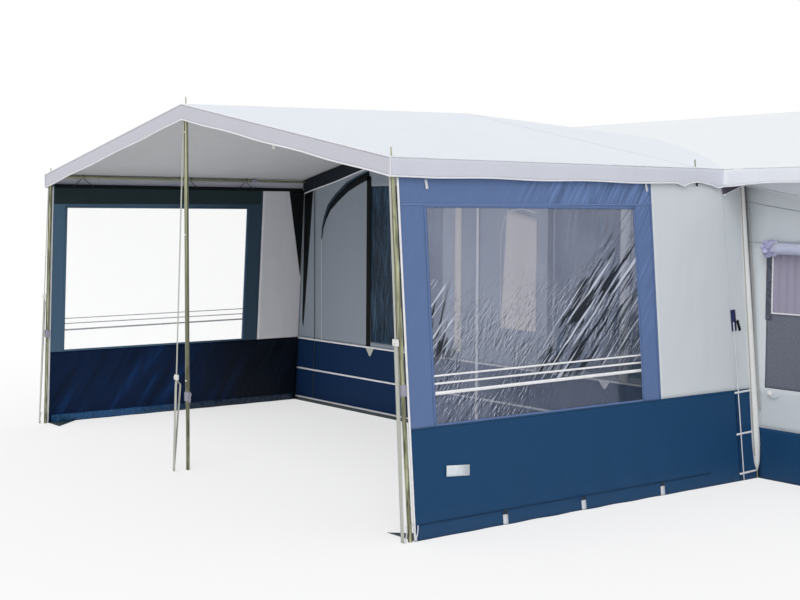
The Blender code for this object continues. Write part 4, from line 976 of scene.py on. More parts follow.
# %% Hang the side walls
CENTRE_Y, WALL_HEAD_Z = CANOPY_DEPTH + GAP, EAVE_Z - CLOTH - GAP
for name, side, pane_finish in (("left", -1, left_film), ("right", 1, clear_film)):
    opening_y = (PANE_FRONT_Y[name], WINDOW_Y[1])
    ys = spots([WALL_FRONT_Y, opening_y[0], WINDOW_Y[1], FRAME_REAR_Y], 0.016)
    zs = spots([BAND_TOP + GAP, *WINDOW_Z, WALL_TOP_Z], 0.016)
    frame_cloth = side_sheet(
        f"{name}_wall_frame", side, ys, zs, frame_pull, frame_blue, "wall_cloth",
        keep=without(ys, zs, opening_y, WINDOW_Z), lining=frame_dusk,
        stands_for=[f"{name}_wall_upper"])
    rear, more = ([OUTER_Y], ["outer_wall_upper"]) if side > 0 else ([], [])
    ys = spots([FRAME_REAR_Y + GAP, POLE_REAR_Y, CANOPY_DEPTH, *rear], 0.03)
    zs = spots([BAND_TOP + GAP, WALL_NOTCH_Z, WALL_TOP_Z, *([WALL_HEAD_Z] if rear else [])], 0.03)
    keep = without(ys, zs, (POLE_REAR_Y, CANOPY_DEPTH), (WALL_NOTCH_Z, WALL_TOP_Z)) \
        & without(ys, zs, (0, CANOPY_DEPTH), (WALL_TOP_Z, 9))
    panel = side_sheet(f"{name}_wall_grey_panel", side, ys, zs, panel_pull, wall_grey,
                       "grey_cloth", lining=wall_dusk, keep=keep,
                       stands_for=[f"{name}_wall_upper", *more])
    ys = spots([WALL_FRONT_Y, CANOPY_DEPTH, *rear], 0.016)
    skirt = side_sheet(f"{name}_wall_skirt", side, ys, spots([0.0, 0.075, BAND_TOP], 0.02),
                       skirt_pull, band_navy, "band_cloth", lining=band_dusk,
                       stands_for=[f"{name}_wall_band", *(["outer_wall_band"] if rear else [])])
    ys = spots([opening_y[0] + GAP, opening_y[1] - GAP], 0.012)
    zs = spots([WINDOW_Z[0] + GAP, WINDOW_Z[1] - GAP], 0.012)
    pane = side_sheet(
        f"{name}_wall_film", side, ys, zs,
        lambda y, z: slack(y, z, (opening_y[0], WINDOW_Z[0]), (WINDOW_Y[1], WINDOW_Z[1]),
                           0.004, 0.3, 19 + side)
        + 0.0012 * (1 + ripple(y + 0.55 * z, 0.18 * (z - y), 0.05, 23)),
        pane_finish, "clear_film", 0.0015, stands_for=[f"{name}_wall_window"])
print("side walls hung, panes of", len(pane.data.polygons), "faces")

# %% [markdown]
# ## Bindings, stripes and seams on the side walls
# A film is welded into its frame under a narrow binding, so the opening has a raised
# edge on both faces. Three white stripes are printed across its lower part. A white
# cord edges the wall's front, and the cloths meet in lapped seams. Each is a thin
# strip laid a millimetre or two proud of the panel below it.

# %% Strips on the side walls
def wall_point(side, y, z, out=0.0):
    """A place on a side wall's outer face, moved outwards level by out."""
    return at(side * (half_width(z) + out), y, z)


def wall_tape(name, side, start, end, width, finish, slot, out, thick=0.001, steps=24):
    """A straight strip on a side wall from one (y, z) to another, facing outwards."""
    share = np.linspace(0, 1, steps)
    path = wall_point(side, start[0] + (end[0] - start[0]) * share,
                      start[1] + (end[1] - start[1]) * share, out)
    across = np.cross((side, 0, LEAN), path[-1] - path[0])
    return tape(name, path, across, width, finish, slot, thick)

# %% Lay the bindings, stripes and seams
LAP = 0.008     # how far a binding reaches to each side of the opening's edge
# A stripe's height at the front and at the rear, and its width
STRIPES = ((0.820, 0.833, 0.009), (0.780, 0.790, 0.010), (0.730, 0.744, 0.017))
for name, side in SIDES:
    opening_y = (PANE_FRONT_Y[name], WINDOW_Y[1])
    y0, y1, (z0, z1) = *opening_y, WINDOW_Z
    for face, out in (("outer", 0.0010), ("inner", -0.0034)):
        for edge, start, end in (("front", (y0, z0 - LAP), (y0, z1 + LAP)),
                                 ("rear", (y1, z0 - LAP), (y1, z1 + LAP)),
                                 ("head", (y0 - LAP, z1), (y1 + LAP, z1))):
            wall_tape(f"{name}_window_{edge}_binding_{face}", side, start, end, 2 * LAP,
                      frame_blue if face == "outer" else frame_dusk, "wall_cloth",
                      out + (GAP if edge == "head" else 0))
        for number, (front, rear, width) in enumerate(STRIPES, 1):
            wall_tape(f"{name}_window_stripe_{number}_{face}", side,
                      (opening_y[0] + 0.004, front), (1.752, rear),
                      width if side > 0 else width * 0.7,
                      stripe_white if side > 0 else stripe_dusk, "clear_film", out)
    cord_like(f"{name}_wall_front_piping", wall_point(side, WALL_FRONT_Y + 0.004,
                                                     np.linspace(0.004, 1.845, 60), 0.0015),
              0.0060, piping_white, "valance_cloth", up=(0, 1, 0), sides=16)
    wall_tape(f"{name}_panel_seam", side, (FRAME_REAR_Y, BAND_TOP), (FRAME_REAR_Y, 1.83), 0.012,
              frame_blue, "wall_cloth", 0.0008)
    wall_tape(f"{name}_skirt_seam", side, (WALL_FRONT_Y + 0.012, BAND_TOP),
              ((OUTER_Y if side > 0 else CANOPY_DEPTH) - 0.002, BAND_TOP), 0.008, band_navy,
              "band_cloth", 0.0010)
    wall_tape(f"{name}_hem_seam", side, (WALL_FRONT_Y + 0.012, 0.080), (CANOPY_DEPTH, 0.080),
              0.0045, seam_navy, "band_cloth", 0.0006, steps=60)
    wall_tape(f"{name}_head_seam", side, (WALL_FRONT_Y + 0.004, WINDOW_Z[1] + 0.006),
              (FRAME_REAR_Y, WINDOW_Z[1] + 0.018), 0.009, frame_seam, "wall_cloth", 0.0016)
print("bindings, stripes and seams laid")

# %% [markdown]
# ## Inside the side walls
# From inside, the head of each wall is a darker band, painted shade under the roof's
# edge, with a black binding along the top, and short loops of cord hang the wall from
# the eave pole. A wrinkled strip of lighter blue edges the foot, and a black triangle
# closes the corner where the wall meets the main awning: a closing strip painted black
# for the deep shade it lies in.

# %% Inner strips, netting and hangers
def inner_patch(name, side, corners, finish, slot, pull, off=0.0035):
    """A four-cornered sheet on a side wall's inner face; corners are (y, z) pairs."""
    a, b, c, d = (np.asarray(p, float) for p in corners)
    u, v = np.meshgrid(np.linspace(0, 1, 120), np.linspace(0, 1, 24), indexing="ij")
    y, z = ((a[k] * (1 - u) + b[k] * u) * (1 - v) + (d[k] * (1 - u) + c[k] * u) * v
            for k in (0, 1))
    # Its rows run the other way than the wall's, so it faces inwards.
    points = wall_point(side, y, z, -off - pull(y, z))[::-side]
    return cloth(name, points, at(y, z)[::-side], finish, slot, 0.0010)


def either_pull(y, z):
    """The slack of the frame in front and of the grey panel behind it."""
    return np.maximum(frame_pull(y, z), np.where(y > FRAME_REAR_Y, panel_pull(y, z), 0))

# %% Lay them on both walls
EAVE_POLE_X, EAVE_POLE_Z, LOOP_RADIUS = 2.157, 1.918, 0.0165
for name, side in SIDES:
    # The dark inner head is painted shade under the roof's edge.
    inner_patch(f"{name}_inner_head", side, ((0.035, 1.712), (1.88, 1.722), (1.88, 1.862),
                                             (0.035, 1.862)), head_dusk, "wall_cloth", frame_pull)
    inner_patch(f"{name}_head_binding", side, ((0.035, 1.836), (2.30, 1.836), (2.30, 1.8635),
                                               (0.035, 1.8635)), black_border, "wall_cloth",
                either_pull, 0.0050)
    # A black closing strip in the corner: painted shade.
    inner_patch(f"{name}_corner_shade_wedge", side, ((2.311, 1.10), (2.315, 1.10), (2.315, 1.848),
                                                 (2.160, 1.848)), black_border, "grey_cloth",
                panel_pull)
    y, z = np.meshgrid(spots([WALL_FRONT_Y + 0.03, 2.30], 0.012), np.linspace(0.002, 0.060, 7),
                       indexing="ij")
    out = -skirt_pull(y, z) - 0.0036 - 0.0016 * (1 + ripple(y, z, 0.045, 61))
    points = wall_point(side, y, z, out)[::-side]
    cloth(f"{name}_inner_hem", points, at(y, z)[::-side], hem_blue, "band_cloth", 0.0012)
    hangers = ((0.265, 0.19, 0.35), (1.20, 1.13, 1.27), (1.725, 1.65, 1.80))
    for number, (middle, front, rear) in enumerate(hangers, 1):
        for leg, foot in (("front", front), ("rear", rear)):
            angle = np.linspace(-0.2, math.pi + 0.2, 9)
            over = at(side * (EAVE_POLE_X + LOOP_RADIUS * np.cos(angle)), middle,
                      EAVE_POLE_Z + LOOP_RADIUS * np.sin(angle))
            start = wall_point(side, foot, 1.850, -0.006)
            route = np.concatenate([np.linspace(start, over[0], 8)[:-1], over])
            cord_like(f"{name}_hanger_{number}_{leg}", route, 0.0028, cord_dark, "strap_web",
                      up=(0, 1, 0.2), sides=8)
    for number, (y, top) in enumerate(((0.205, 1.826), (1.862, 1.836)), 1):
        wall_tape(f"{name}_hanger_tab_{number}", side, (y, top), (y + 0.008, top - 0.050),
                  0.016, webbing_pale, "strap_web", 0.0045, 0.0030, 6)
print("inner strips, netting and hangers laid")

# %% [markdown]
# ## The wall behind the canopy
# The canopy's rear is closed by the main awning's own wall. It is grey cloth up to
# the gable, with two dark windows and a navy band crossed by three white lines; its grey
# and navy are darker copies of the canopy's cloths, painted shade. A black arch frames
# the left panel, a black wedge of painted shade fills the corner, and a zip runs down
# beside it. The wall is one grid: its top column follows the gable, and its ends follow
# the leaning side walls.

# %% Centre wall
CENTRE_SILL, CENTRE_HEAD, CENTRE_WAVE = 0.60, 1.8697, 0.0016
PANES_X = ((-1.190, -0.270), (0.950, 1.870))


def centre_grid(xs, zs, to_gable):
    """Places on the wall: ends lean with the side walls, and the top follows the gable."""
    x, z = np.meshgrid(xs, zs, indexing="ij")
    if to_gable:
        top = gable_z(x, CENTRE_Y) - CLOTH - GAP
        top = np.where(np.abs(x) > HALF_TOP - 0.02, EAVE_Z - CLOTH - GAP, top)
        z = np.where(z > CENTRE_HEAD,
                     CENTRE_HEAD + (z - CENTRE_HEAD) * (top - CENTRE_HEAD), z)
    inner = PANES_X[1][1]
    end = half_width(z) - CLOTH - GAP
    beyond = (np.abs(x) - inner) / (HALF_FOOT - inner)
    x = np.where(np.abs(x) > inner, np.sign(x) * (inner + beyond * (end - inner)), x)
    return x, z

# %% Hang the centre wall
xs = spots([-HALF_FOOT, -PANES_X[1][1], PANES_X[0][0], PANES_X[0][1], 0.0, PANES_X[1][0],
            PANES_X[1][1], HALF_FOOT], 0.035)
zs = np.append(spots([BAND_TOP + GAP, CENTRE_SILL, CENTRE_HEAD], 0.035),
               CENTRE_HEAD + np.linspace(0, 1, 13)[1:])
x, z = centre_grid(xs, zs, True)
keep = without(xs, zs, PANES_X[0], (CENTRE_SILL, CENTRE_HEAD)) \
    & without(xs, zs, PANES_X[1], (CENTRE_SILL, CENTRE_HEAD))
y = CENTRE_Y + CENTRE_WAVE * dome(z, BAND_TOP, 1.9) * (1 + ripple(x, z, 0.4, 29))
centre_wall = cloth("centre_wall_cloth", at(x, y, z), at(x, z), wall_shade, "grey_cloth",
                    0.002, keep, stands_for=["centre_wall_upper"])
xs = spots([-HALF_FOOT, -PANES_X[1][1], PANES_X[1][1], HALF_FOOT], 0.035)
zs = spots([0.0, 0.035, 0.29, BAND_TOP], 0.03)
x, z = centre_grid(xs, zs, False)
y = CENTRE_Y + CENTRE_WAVE * dome(z, 0, BAND_TOP) * (1 + ripple(x, z, 0.3, 31))
centre_skirt = cloth("centre_wall_skirt", at(x, y, z), at(x, z), centre_navy, "band_cloth",
                     0.002, stands_for=["centre_wall_band"])
for name, (left, right) in zip(("left", "right"), PANES_X):
    x, z = np.meshgrid(spots([left + GAP, right - GAP], 0.02),
                       spots([CENTRE_SILL + GAP, CENTRE_HEAD - GAP], 0.02), indexing="ij")
    free = dome(x, left, right) * dome(z, CENTRE_SILL, CENTRE_HEAD)
    y = CENTRE_Y + CENTRE_WAVE * free * (1 + ripple(x, z * 0.25, 0.12, 37))
    pane = cloth(f"centre_{name}_film", at(x, y, z), at(x, z), dark_film, "tinted_film",
                 0.0015, stands_for=[f"centre_wall_{name}_window"])
print("centre wall", len(centre_wall.data.polygons), "faces")

# %% [markdown]
# ## Details of the centre wall
# Three white cords cross the navy band. On the left panel a black arch leads up to
# the window's border, a dark zip and a black wedge, painted shade over a closing strip,
# stand in the corner, and two small pale flags hang from the seam above the band.
# Through the clear window on the right one sees an arched door panel and pale posts.
# All of them are strips and small sheets that lie a few millimetres in front of the wall.

# %% Strips and patches
def wall_curve(name, xz, width, finish, out=0.003):
    """A strip on the centre wall that faces the canopy; width may change along it."""
    marks, share = np.linspace(0, 1, len(xz)), np.linspace(0, 1, 40)
    line = at(*(np.interp(share, marks, measure) for measure in np.transpose(xz)))
    wide = np.interp(share, np.linspace(0, 1, np.size(width)), np.atleast_1d(width))
    way = unit(np.gradient(line, axis=0))
    side = at(-way[:, 1], way[:, 0]) * wide[:, None] / 2
    edges = np.stack([line - side, line, line + side], 1)
    points = at(edges[..., 0], CENTRE_Y - out, edges[..., 1])
    return cloth(name, points, edges, finish, "grey_cloth", 0.0012)


def patch(name, corners, finish, slot, steps=8):
    """A small four-cornered sheet; the corners go along the first edge, then back."""
    a, b, c, d = (np.asarray(p, float) for p in corners)
    u, v = np.meshgrid(np.linspace(0, 1, steps), np.linspace(0, 1, steps), indexing="ij")
    u, v = u[..., None], v[..., None]
    points = a * (1 - u) * (1 - v) + b * u * (1 - v) + c * u * v + d * (1 - u) * v
    size = np.linalg.norm(b - a), np.linalg.norm(d - a)
    return cloth(name, points, np.concatenate([u * size[0], v * size[1]], -1), finish, slot,
                 0.0015)


def before_wall(out, *corners):
    """The (x, z) corners as places that far in front of the centre wall."""
    return [(x, CENTRE_Y - out, z) for x, z in corners]

# %% Lay the centre wall's details
for number, height in enumerate((0.555, 0.290, 0.035), 1):
    across = np.linspace(-half_width(height) + 0.02, half_width(height) - 0.02, 80)
    cord_like(f"centre_band_piping_{number}", at(across, CENTRE_Y - 0.003, height), 0.0075,
              piping_white, "valance_cloth")
wall_curve("centre_foot_mud_strip", [(-2.30, 0.016), (2.30, 0.016)], 0.030, flap_dark, 0.0035)
arch = [(-1.905, 1.42), (-1.89, 1.52), (-1.85, 1.61), (-1.79, 1.70), (-1.67, 1.785),
        (-1.52, 1.87), (-1.36, 1.925), (-1.21, 1.966)]
wall_curve("left_arch_black", arch, [0.004, 0.035, 0.070, 0.080, 0.070], black_border)
wall_curve("left_arch_edge", np.add(arch, (0.016, 0.036)), 0.006, frame_dusk, 0.005)
wall_curve("left_panel_edge", [(-1.905, BAND_TOP), (-1.905, 1.43)], 0.006, wall_grey, 0.004)
wall_curve("left_window_black_border", [(-1.222, BAND_TOP), (-1.215, 1.95)], 0.060, black_border)
wall_curve("left_corner_zip", [(-2.035, 0.01), (-2.01, BAND_TOP), (-2.01, 1.93)], 0.007,
           cord_dark, 0.005)
# The black wedge in the centre wall's corner: painted shade over a closing strip.
patch("left_corner_shade_wedge", before_wall(0.004, (-2.205, 0.70), (-2.190, 0.66), (-2.030, 1.885),
                                         (-2.160, 1.885)), black_border, "grey_cloth")
patch("left_flag", before_wall(0.008, (-1.20, 0.485), (-1.185, 0.485), (-1.14, 0.548),
                               (-1.25, 0.548)), webbing, "strap_web")
patch("right_flag", before_wall(0.008, (1.43, 0.500), (1.445, 0.500), (1.49, 0.556),
                                (1.38, 0.556)), piping_white, "strap_web")
patch("door_panel", before_wall(0.003, (0.40, 0.83), (0.77, 0.83), (0.77, 1.62), (0.46, 1.686)),
      curtain_cream, "grey_cloth", 20)
wall_curve("door_panel_seam", [(0.40, 0.83), (0.40, 1.50), (0.43, 1.61), (0.50, 1.675),
                               (0.62, 1.69), (0.77, 1.66)], 0.012, wall_dusk, 0.005)
wall_curve("white_post_strip", [(0.145, 0.02), (0.145, 1.95)], 0.030, piping_white, 0.008)
wall_curve("pale_post_strip", [(-0.08, 0.62), (-0.08, 1.95)], 0.075, curtain_cream, 0.004)
wall_curve("window_post_strip", [(1.60, BAND_TOP), (1.60, 1.90)], 0.085, wall_dusk, 0.004)
for x in (0.905, 1.915):
    wall_curve(f"right_window_border_{round(x * 1000)}", [(x, BAND_TOP), (x, 1.90)], 0.05,
               black_border)
print("centre wall details laid")

# %% [markdown]
# ## The return and the outer front wall
# Beside the canopy the side wall runs on as a short return, then the outer front
# faces forward again. The front is a grid of its own, whose first columns lean with
# the corner, so the fold between them stays sharp. Its band is lower than the
# return's. The outer window is a dark net with a curtain on its upper half, and a
# rolled blind is tied up over it.

# %% Outer walls
OUTER_PANE_X, OUTER_PANE_Z = (2.370, 3.290), (0.575, 1.4697)
OUTER_END_X = END_X - CLOTH - GAP
OUTER_HEAD_Z = float(main_z(OUTER_Y)) - CLOTH - GAP


def outer_front(name, zs, finish, slot, open_pane, seed, **more):
    """The front from the leaning corner to the end: the first columns lean with it."""
    xs = spots([HALF_FOOT, *OUTER_PANE_X, OUTER_END_X], 0.03)
    x, z = np.meshgrid(xs, zs, indexing="ij")
    corner, pane_x = half_width(z) + GAP, OUTER_PANE_X[0]
    leant = corner + (x - HALF_FOOT) * (pane_x - corner) / (pane_x - HALF_FOOT)
    x = np.where(x < pane_x, leant, x)
    y = OUTER_Y + 0.0015 * dome(x, HALF_FOOT, OUTER_END_X) * dome(z, zs[0], zs[-1]) \
        * (1 + ripple(x, z, 0.35, seed))
    keep = without(xs, zs, OUTER_PANE_X, OUTER_PANE_Z) if open_pane else None
    return cloth(name, at(x, y, z), at(x, z), finish, slot, 0.002, keep, **more)

# %% Hang the outer walls
outer_wall = outer_front(
    "outer_wall_cloth", spots([OUTER_BAND_TOP + GAP, *OUTER_PANE_Z, OUTER_HEAD_Z], 0.03),
    wall_grey, "grey_cloth", True, 41, lining=wall_dusk, stands_for=["outer_wall_upper"])
outer_skirt = outer_front("outer_wall_skirt", spots([0.0, OUTER_BAND_TOP], 0.03), band_navy,
                          "band_cloth", False, 43, lining=band_dusk,
                          stands_for=["outer_wall_band"])
x, z = np.meshgrid(spots([OUTER_PANE_X[0] + GAP, OUTER_PANE_X[1] - GAP], 0.02),
                   spots([OUTER_PANE_Z[0] + GAP, OUTER_PANE_Z[1] - GAP], 0.02), indexing="ij")
y = OUTER_Y + 0.001 * dome(x, *OUTER_PANE_X) * (1 + ripple(x, z, 0.1, 43))
pane = cloth("outer_window_net", at(x, y, z), at(x, z), net_dark, "tinted_film", 0.0015,
             stands_for=["outer_wall_window"])
print("outer walls hung")

# %% Outer window's curtain and border
def front_grid(name, x_marks, z_marks, out_of, finish, pitch):
    """A sheet before the outer window; out_of(x, z) says how far it stands out."""
    x, z = np.meshgrid(spots(x_marks, pitch), spots(z_marks, pitch), indexing="ij")
    return cloth(name, at(x, OUTER_Y - out_of(x, z), z), at(x, z), finish, "blind_cloth", 0.0015)


def even_wave(measure, length):
    """A sine wave of the given length."""
    return np.sin(measure * 2 * math.pi / length)


curtain = front_grid("outer_curtain", (2.418, 3.275), (1.045, 1.44),
                     lambda x, z: 0.0042 - 0.0018 * even_wave(x, 0.058)
                     * (0.4 + dome(z, 0.9, 1.9)), curtain_mauve, 0.008)
front_grid("outer_window_left_border", (2.366, 2.414), (1.00, 1.43),
           lambda x, z: 0.003 - 0.001 * ripple(x, z, 0.03, 47), border_mottled, 0.008)
front_grid("curtain_edge", (2.410, 2.420), (1.045, 1.43),
           lambda x, z: 0.0075 - 0.0008 * even_wave(z, 0.03), piping_white, 0.003)
front_grid("curtain_hem", (2.410, 3.275), (1.040, 1.050), lambda x, z: 0.0072, piping_white, 0.01)
print("curtain and border made")

# %% Rolled blind
BLIND_Y, BLIND_Z, BLIND_SAG = OUTER_Y - GAP - 0.036, OUTER_PANE_Z[1] - 0.021, 0.008
BLIND_RADIUS, TIE_RADIUS = 0.0355, 0.034


def round_blind(x, radius, angle, sag=0.0):
    """Places round the blind's line, at an angle and a radius from it."""
    return at(x, BLIND_Y + radius * np.cos(angle), BLIND_Z - sag + radius * np.sin(angle))


def bell(value, middle, width):
    """1 at the middle and near 0 two widths away."""
    return np.exp(-((value - middle) / width) ** 2)


def blind():
    """A cloth roll: rings round a sagging line, lumpy, with a lap and pinched ends."""
    s, a = np.meshgrid(np.linspace(0, 1, 90), np.linspace(0, 2 * math.pi, 40, endpoint=False),
                       indexing="ij")
    x = OUTER_PANE_X[0] + 0.004 + (OUTER_PANE_X[1] - OUTER_PANE_X[0] + 0.004) * s
    pinch = 1 - 0.45 * bell(s, 0.0, 0.012) - 0.25 * bell(s, 0.97, 0.012)
    bunch = bell(s, 0.03, 0.075)
    radius = BLIND_RADIUS * pinch * (1 + 0.05 * ripple(s * 0.9, a * 0.03, 0.12, 53)
                                     + 0.10 * bunch + (0.03 + 0.12 * bunch)
                                     * ripple(s * 0.9, a * 0.03, 0.03, 59))
    radius = radius + 0.0015 * np.clip(1 - np.abs(a - 5.2) / 0.25, 0, 1)
    rings = round_blind(x, radius, a, BLIND_SAG * np.sin(math.pi * s) - 0.001)
    return tube("blind_roll_cloth", rings, at(s * 0.92, a * 0.035), blind_lilac,
                ["blind_roll"])


def gathers(name, first, last, height):
    """A ruffled collar: its radius rises and falls seven times on the way round."""
    share, a = np.meshgrid(np.linspace(0, 1, 13), np.linspace(0, 2 * math.pi, 121), indexing="ij")
    fold = np.abs(np.sin(3.5 * a + 1.6 * share + 0.8 * np.sin(2 * a)))
    radius = TIE_RADIUS + height * np.sin(math.pi * share) ** 0.7 * (0.25 + 0.75 * fold)
    x = first + (last - first) * share + 0.008 * np.sin(5 * a + 2)
    return cloth(name, round_blind(x, radius, a), at(x, a * 0.045), blind_gathered,
                 "blind_cloth", 0.0015)

# %% Hang the blind
blind_roll = blind()
gathers("blind_gathers_outer", 2.376, 2.420, 0.024)
gathers("blind_gathers_inner", 2.414, 2.462, 0.018)
angle = np.linspace(0, 2 * math.pi, 33)[:-3]
for number, x in enumerate((2.470, 3.262), 1):
    cord_like(f"blind_tie_{number}", round_blind(x, TIE_RADIUS, angle), 0.004, webbing,
              "strap_web", up=(1, 0, 0))
print("blind made")

# %% [markdown]
# ## The corner of the return
# Where the return meets the outer front, a zip is covered by a pale roll of cloth that
# narrows to a point above the ground, with a groove and a row of small stitches. Beside
# it a thin white line hangs from a small dark flag and is crossed by three short white
# bars. A pale hem strip of the roof slopes down behind the outer valance, and a toggle
# closes the window's lower corner.

# %% Corner helpers
def corner_line(z, inwards=0.0, out=0.0):
    """The leaning corner where the return meets the outer front, moved by two offsets."""
    return at(half_width(z) + out, OUTER_Y + inwards, z)


def bead(name, centre, radius, finish, slot, stretch=1.0):
    """A round knob: rings whose radius follows a half circle from end to end."""
    angle = np.linspace(0.12, math.pi - 0.12, 13)
    path = np.asarray(centre, float) - at(0, np.cos(angle) * radius * stretch, 0)
    return cord_like(name, path, np.sin(angle) * radius, finish, slot, sides=16)

# %% Corner roll, zip and stitches
ROLL_FOOT, ROLL_HEAD, THREAD_RADIUS = 0.05, 1.90, 0.0030
z = np.linspace(ROLL_HEAD, ROLL_FOOT, 80)
radius = np.interp(z, [ROLL_FOOT, 0.10, 0.22, 1.2, ROLL_HEAD],
                   [0.004, 0.019, 0.028, 0.022, 0.017])
leant = np.interp(z, [ROLL_FOOT, ROLL_HEAD], [-0.014, -0.026])
upright = {"up": (0, 1, 0), "sides": 8}
cord_like("corner_roll", corner_line(z, leant, 0.006), radius, roll_pale, "valance_cloth",
          up=(0, 1, 0), sides=24)
groove = corner_line(z, leant - 0.0015, 0.005) + at(0.34 * radius, -0.94 * radius, 0)
cord_like("corner_roll_groove", groove[3:-4], THREAD_RADIUS, zip_grey, "valance_cloth", **upright)
cord_like("corner_zip", corner_line(z, -0.003, 0.022 + 0.8 * radius)[:-16], THREAD_RADIUS,
          zip_grey, "valance_cloth", **upright)
for number, height in enumerate(np.linspace(1.10, 0.24, 26), 1):
    wide, lean = (np.interp(height, z[::-1], line[::-1]) for line in (radius, leant))
    bead(f"corner_stitch_{number}", corner_line(height, lean - 0.50 * wide, 0.006 + 0.86 * wide),
         0.0038, thread_white, "valance_cloth", 0.7)
cord_like("corner_hook", corner_line(np.linspace(0.062, 0.004, 12), -0.014, 0.006), 0.0035,
          zinc, "zinc_steel", **upright)
print("corner roll, zip and stitches laid")

# %% Toggle and the return's strips
knob = np.array([2.416, OUTER_Y - 0.012, 0.545])
bead("window_toggle", knob, 0.017, buckle_white, "buckle_plastic")
tail = knob + [(0, 0, 0), (0.014, 0.002, -0.020), (0.040, 0.006, -0.024), (0.058, 0.006, -0.008)]
cord_like("window_toggle_tail", tail, 0.0045, webbing_pale, "strap_web")


def return_tape(name, start, end, width, finish, slot, out):
    """A straight strip on the return's outer face, from one (y, z) to another."""
    return wall_tape(name, 1, start, end, width, finish, slot, out, 0.0012, 16)


return_tape("return_hanging_line", (2.600, 0.985), (2.626, 0.006), 0.009, piping_white,
            "strap_web", 0.006)
bars = ((2.580, 2.738, 0.551), (2.580, 2.742, 0.293), (2.592, 2.760, 0.048))
for number, (front, rear, height) in enumerate(bars, 1):
    return_tape(f"return_bar_{number}", (front, height - 0.004), (rear, height + 0.002), 0.012,
                piping_white, "valance_cloth", 0.003)
return_tape("return_flag", (2.600, 1.062), (2.606, 0.930), 0.046, flag_navy, "wall_cloth", 0.004)
return_tape("return_flag_tip", (2.640, 0.995), (2.662, 0.930), 0.024, black_border, "wall_cloth",
            0.003)
return_tape("return_seam_upper", (2.555, 1.83), (2.585, BAND_TOP), 0.006, wall_grey, "grey_cloth",
            0.001)
# The seam where the two bands meet, drawn dark: its painted shadow.
return_tape("return_seam_lower", (2.588, BAND_TOP), (2.600, 0.01), 0.006, band_dusk, "band_cloth",
            0.001)
print("toggle and the return's strips laid")

# %% Hem strips and seams
hem = [wall_point(1, y, z, 0.006) for y, z in ((2.560, 1.775), (2.752, 1.838), (2.752, 1.862),
                                               (2.545, 1.862))]
# The plum sheet in the recess under the return's hem is painted shade.
patch("return_hem_underside", hem, recess_shade_plum, "valance_cloth")
cord_like("return_hem_piping", np.linspace(hem[0], hem[1], 12) + (0.003, 0, -0.003), 0.005,
          piping_white, "valance_cloth")
SEAM_START_X, SEAM_END_X = 2.185, 3.44
share = np.linspace(0, 1, 50)
x = SEAM_START_X + (SEAM_END_X - SEAM_START_X) * share
lower = 1.838 - 0.110 * np.sin(np.clip(share * 1.4, 0, 1) * math.pi / 2)
strip = np.stack([at(x, OUTER_Y - 0.010, lower), at(x, OUTER_Y - 0.004, OUTER_HEAD_Z - 0.004)], 1)
cloth("outer_hem_strip", strip, strip[..., [0, 2]], valance_main_lit, "valance_cloth", 0.0015)
cord_like("outer_hem_strip_piping", strip[:, 0], 0.004, piping_white, "valance_cloth")
for name, start, end in (("upper", (SEAM_START_X, 1.736), (SEAM_END_X, 1.545)),
                         ("lower", (2.205, 1.482), (2.385, 1.478))):
    x, z = np.linspace(start, end, 30).T
    tape(f"outer_seam_{name}", at(x, OUTER_Y - 0.0015, z), (0, 0, -1), 0.004, seam_grey,
         "grey_cloth", 0.001)
print("hem strips and seams laid")

# %% [markdown]
# ## The ends of the main awning and the mud flaps
# Each end of the main awning is a grey wall with a navy band at its foot, and its
# top follows the roof. The left end leans like the canopy's walls. Inside each front
# corner a loose triangle of dark, dirty coated cloth lies flat on the ground.

# %% End walls and flaps
END_WAVE = 0.0014


def end_wall(side, front, band_top):
    """The upper cloth and the band of one end; the band's top is a level line."""
    name = "left" if side < 0 else "right"
    for part, finish, slot, lining in (("cloth", wall_grey, "grey_cloth", wall_dusk),
                                       ("skirt", band_navy, "band_cloth", band_dusk)):
        ys = spots(sorted({front, max(front, ROOF_FRONT_Y), REAR_Y}), 0.045)
        upper = part == "cloth"
        y, rise = np.meshgrid(ys, np.linspace(0, 1, 44 if upper else 14), indexing="ij")
        roof = np.maximum(EAVE_Z, main_z(y)) - CLOTH - GAP
        low, high = (band_top + GAP, roof) if upper else (0.0, band_top)
        z = low + (high - low) * rise
        pull = END_WAVE * dome(y, front, REAR_Y) * dome(rise, 0, 1) * (1 + ripple(y, z, 0.4, 71))
        x = half_width(np.minimum(z, WALL_HEAD_Z)) if side < 0 else END_X
        piece = cloth(f"{name}_end_{part}", at(side * (x - pull), y, z)[::side], at(y, z)[::side],
                      finish, slot, 0.002, lining=lining, stands_for=[f"{name}_end_wall"])
        tall = round(float(np.mean(high)) - low, 3)

# %% Hang the ends and lay the flaps
end_wall(-1, CENTRE_Y, BAND_TOP)
end_wall(1, OUTER_Y, OUTER_BAND_TOP)
for name, side in SIDES:
    low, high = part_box(f"{name}_corner_flap")
    edge, tip = (low.x, high.x) if side < 0 else (high.x, low.x)
    along, over = np.meshgrid(np.linspace(0, 1, 25), np.linspace(0, 1, 25), indexing="ij")
    y = low.y + (high.y - low.y) * along
    x = edge + (tip - edge) * over * (1 - along)
    z = 0.0022 + 0.0012 * (1 + ripple(x, y, 0.06, 73)) * dome(over, -0.2, 1.2)
    cloth(f"{name}_mud_flap", at(x, y, z)[::-side], at(x, y)[::-side], flap_dark, "flap_cloth",
          0.0015, stands_for=[f"{name}_corner_flap"])
print("end walls and flaps made")

# %% [markdown]
# ## Storm straps
# From the top of each front upright a webbing strap runs out to the ground. Above its
# buckle it is single and below it double, and slack opens the two layers into a long,
# narrow loop. At the foot it ends in a steel hook that holds a ground peg. Each layer
# is a ribbon whose place and width are worked out from the distance down the strap.

# %% Straps
POST_FOOT_X, STRAP_HEAD_Y, STRAP_FOOT_Z = 2.327, -0.0151, 0.0026
SINGLE_WIDTH, FORK_RISE, LAYER_OFF = 0.016, 0.03, 0.0008


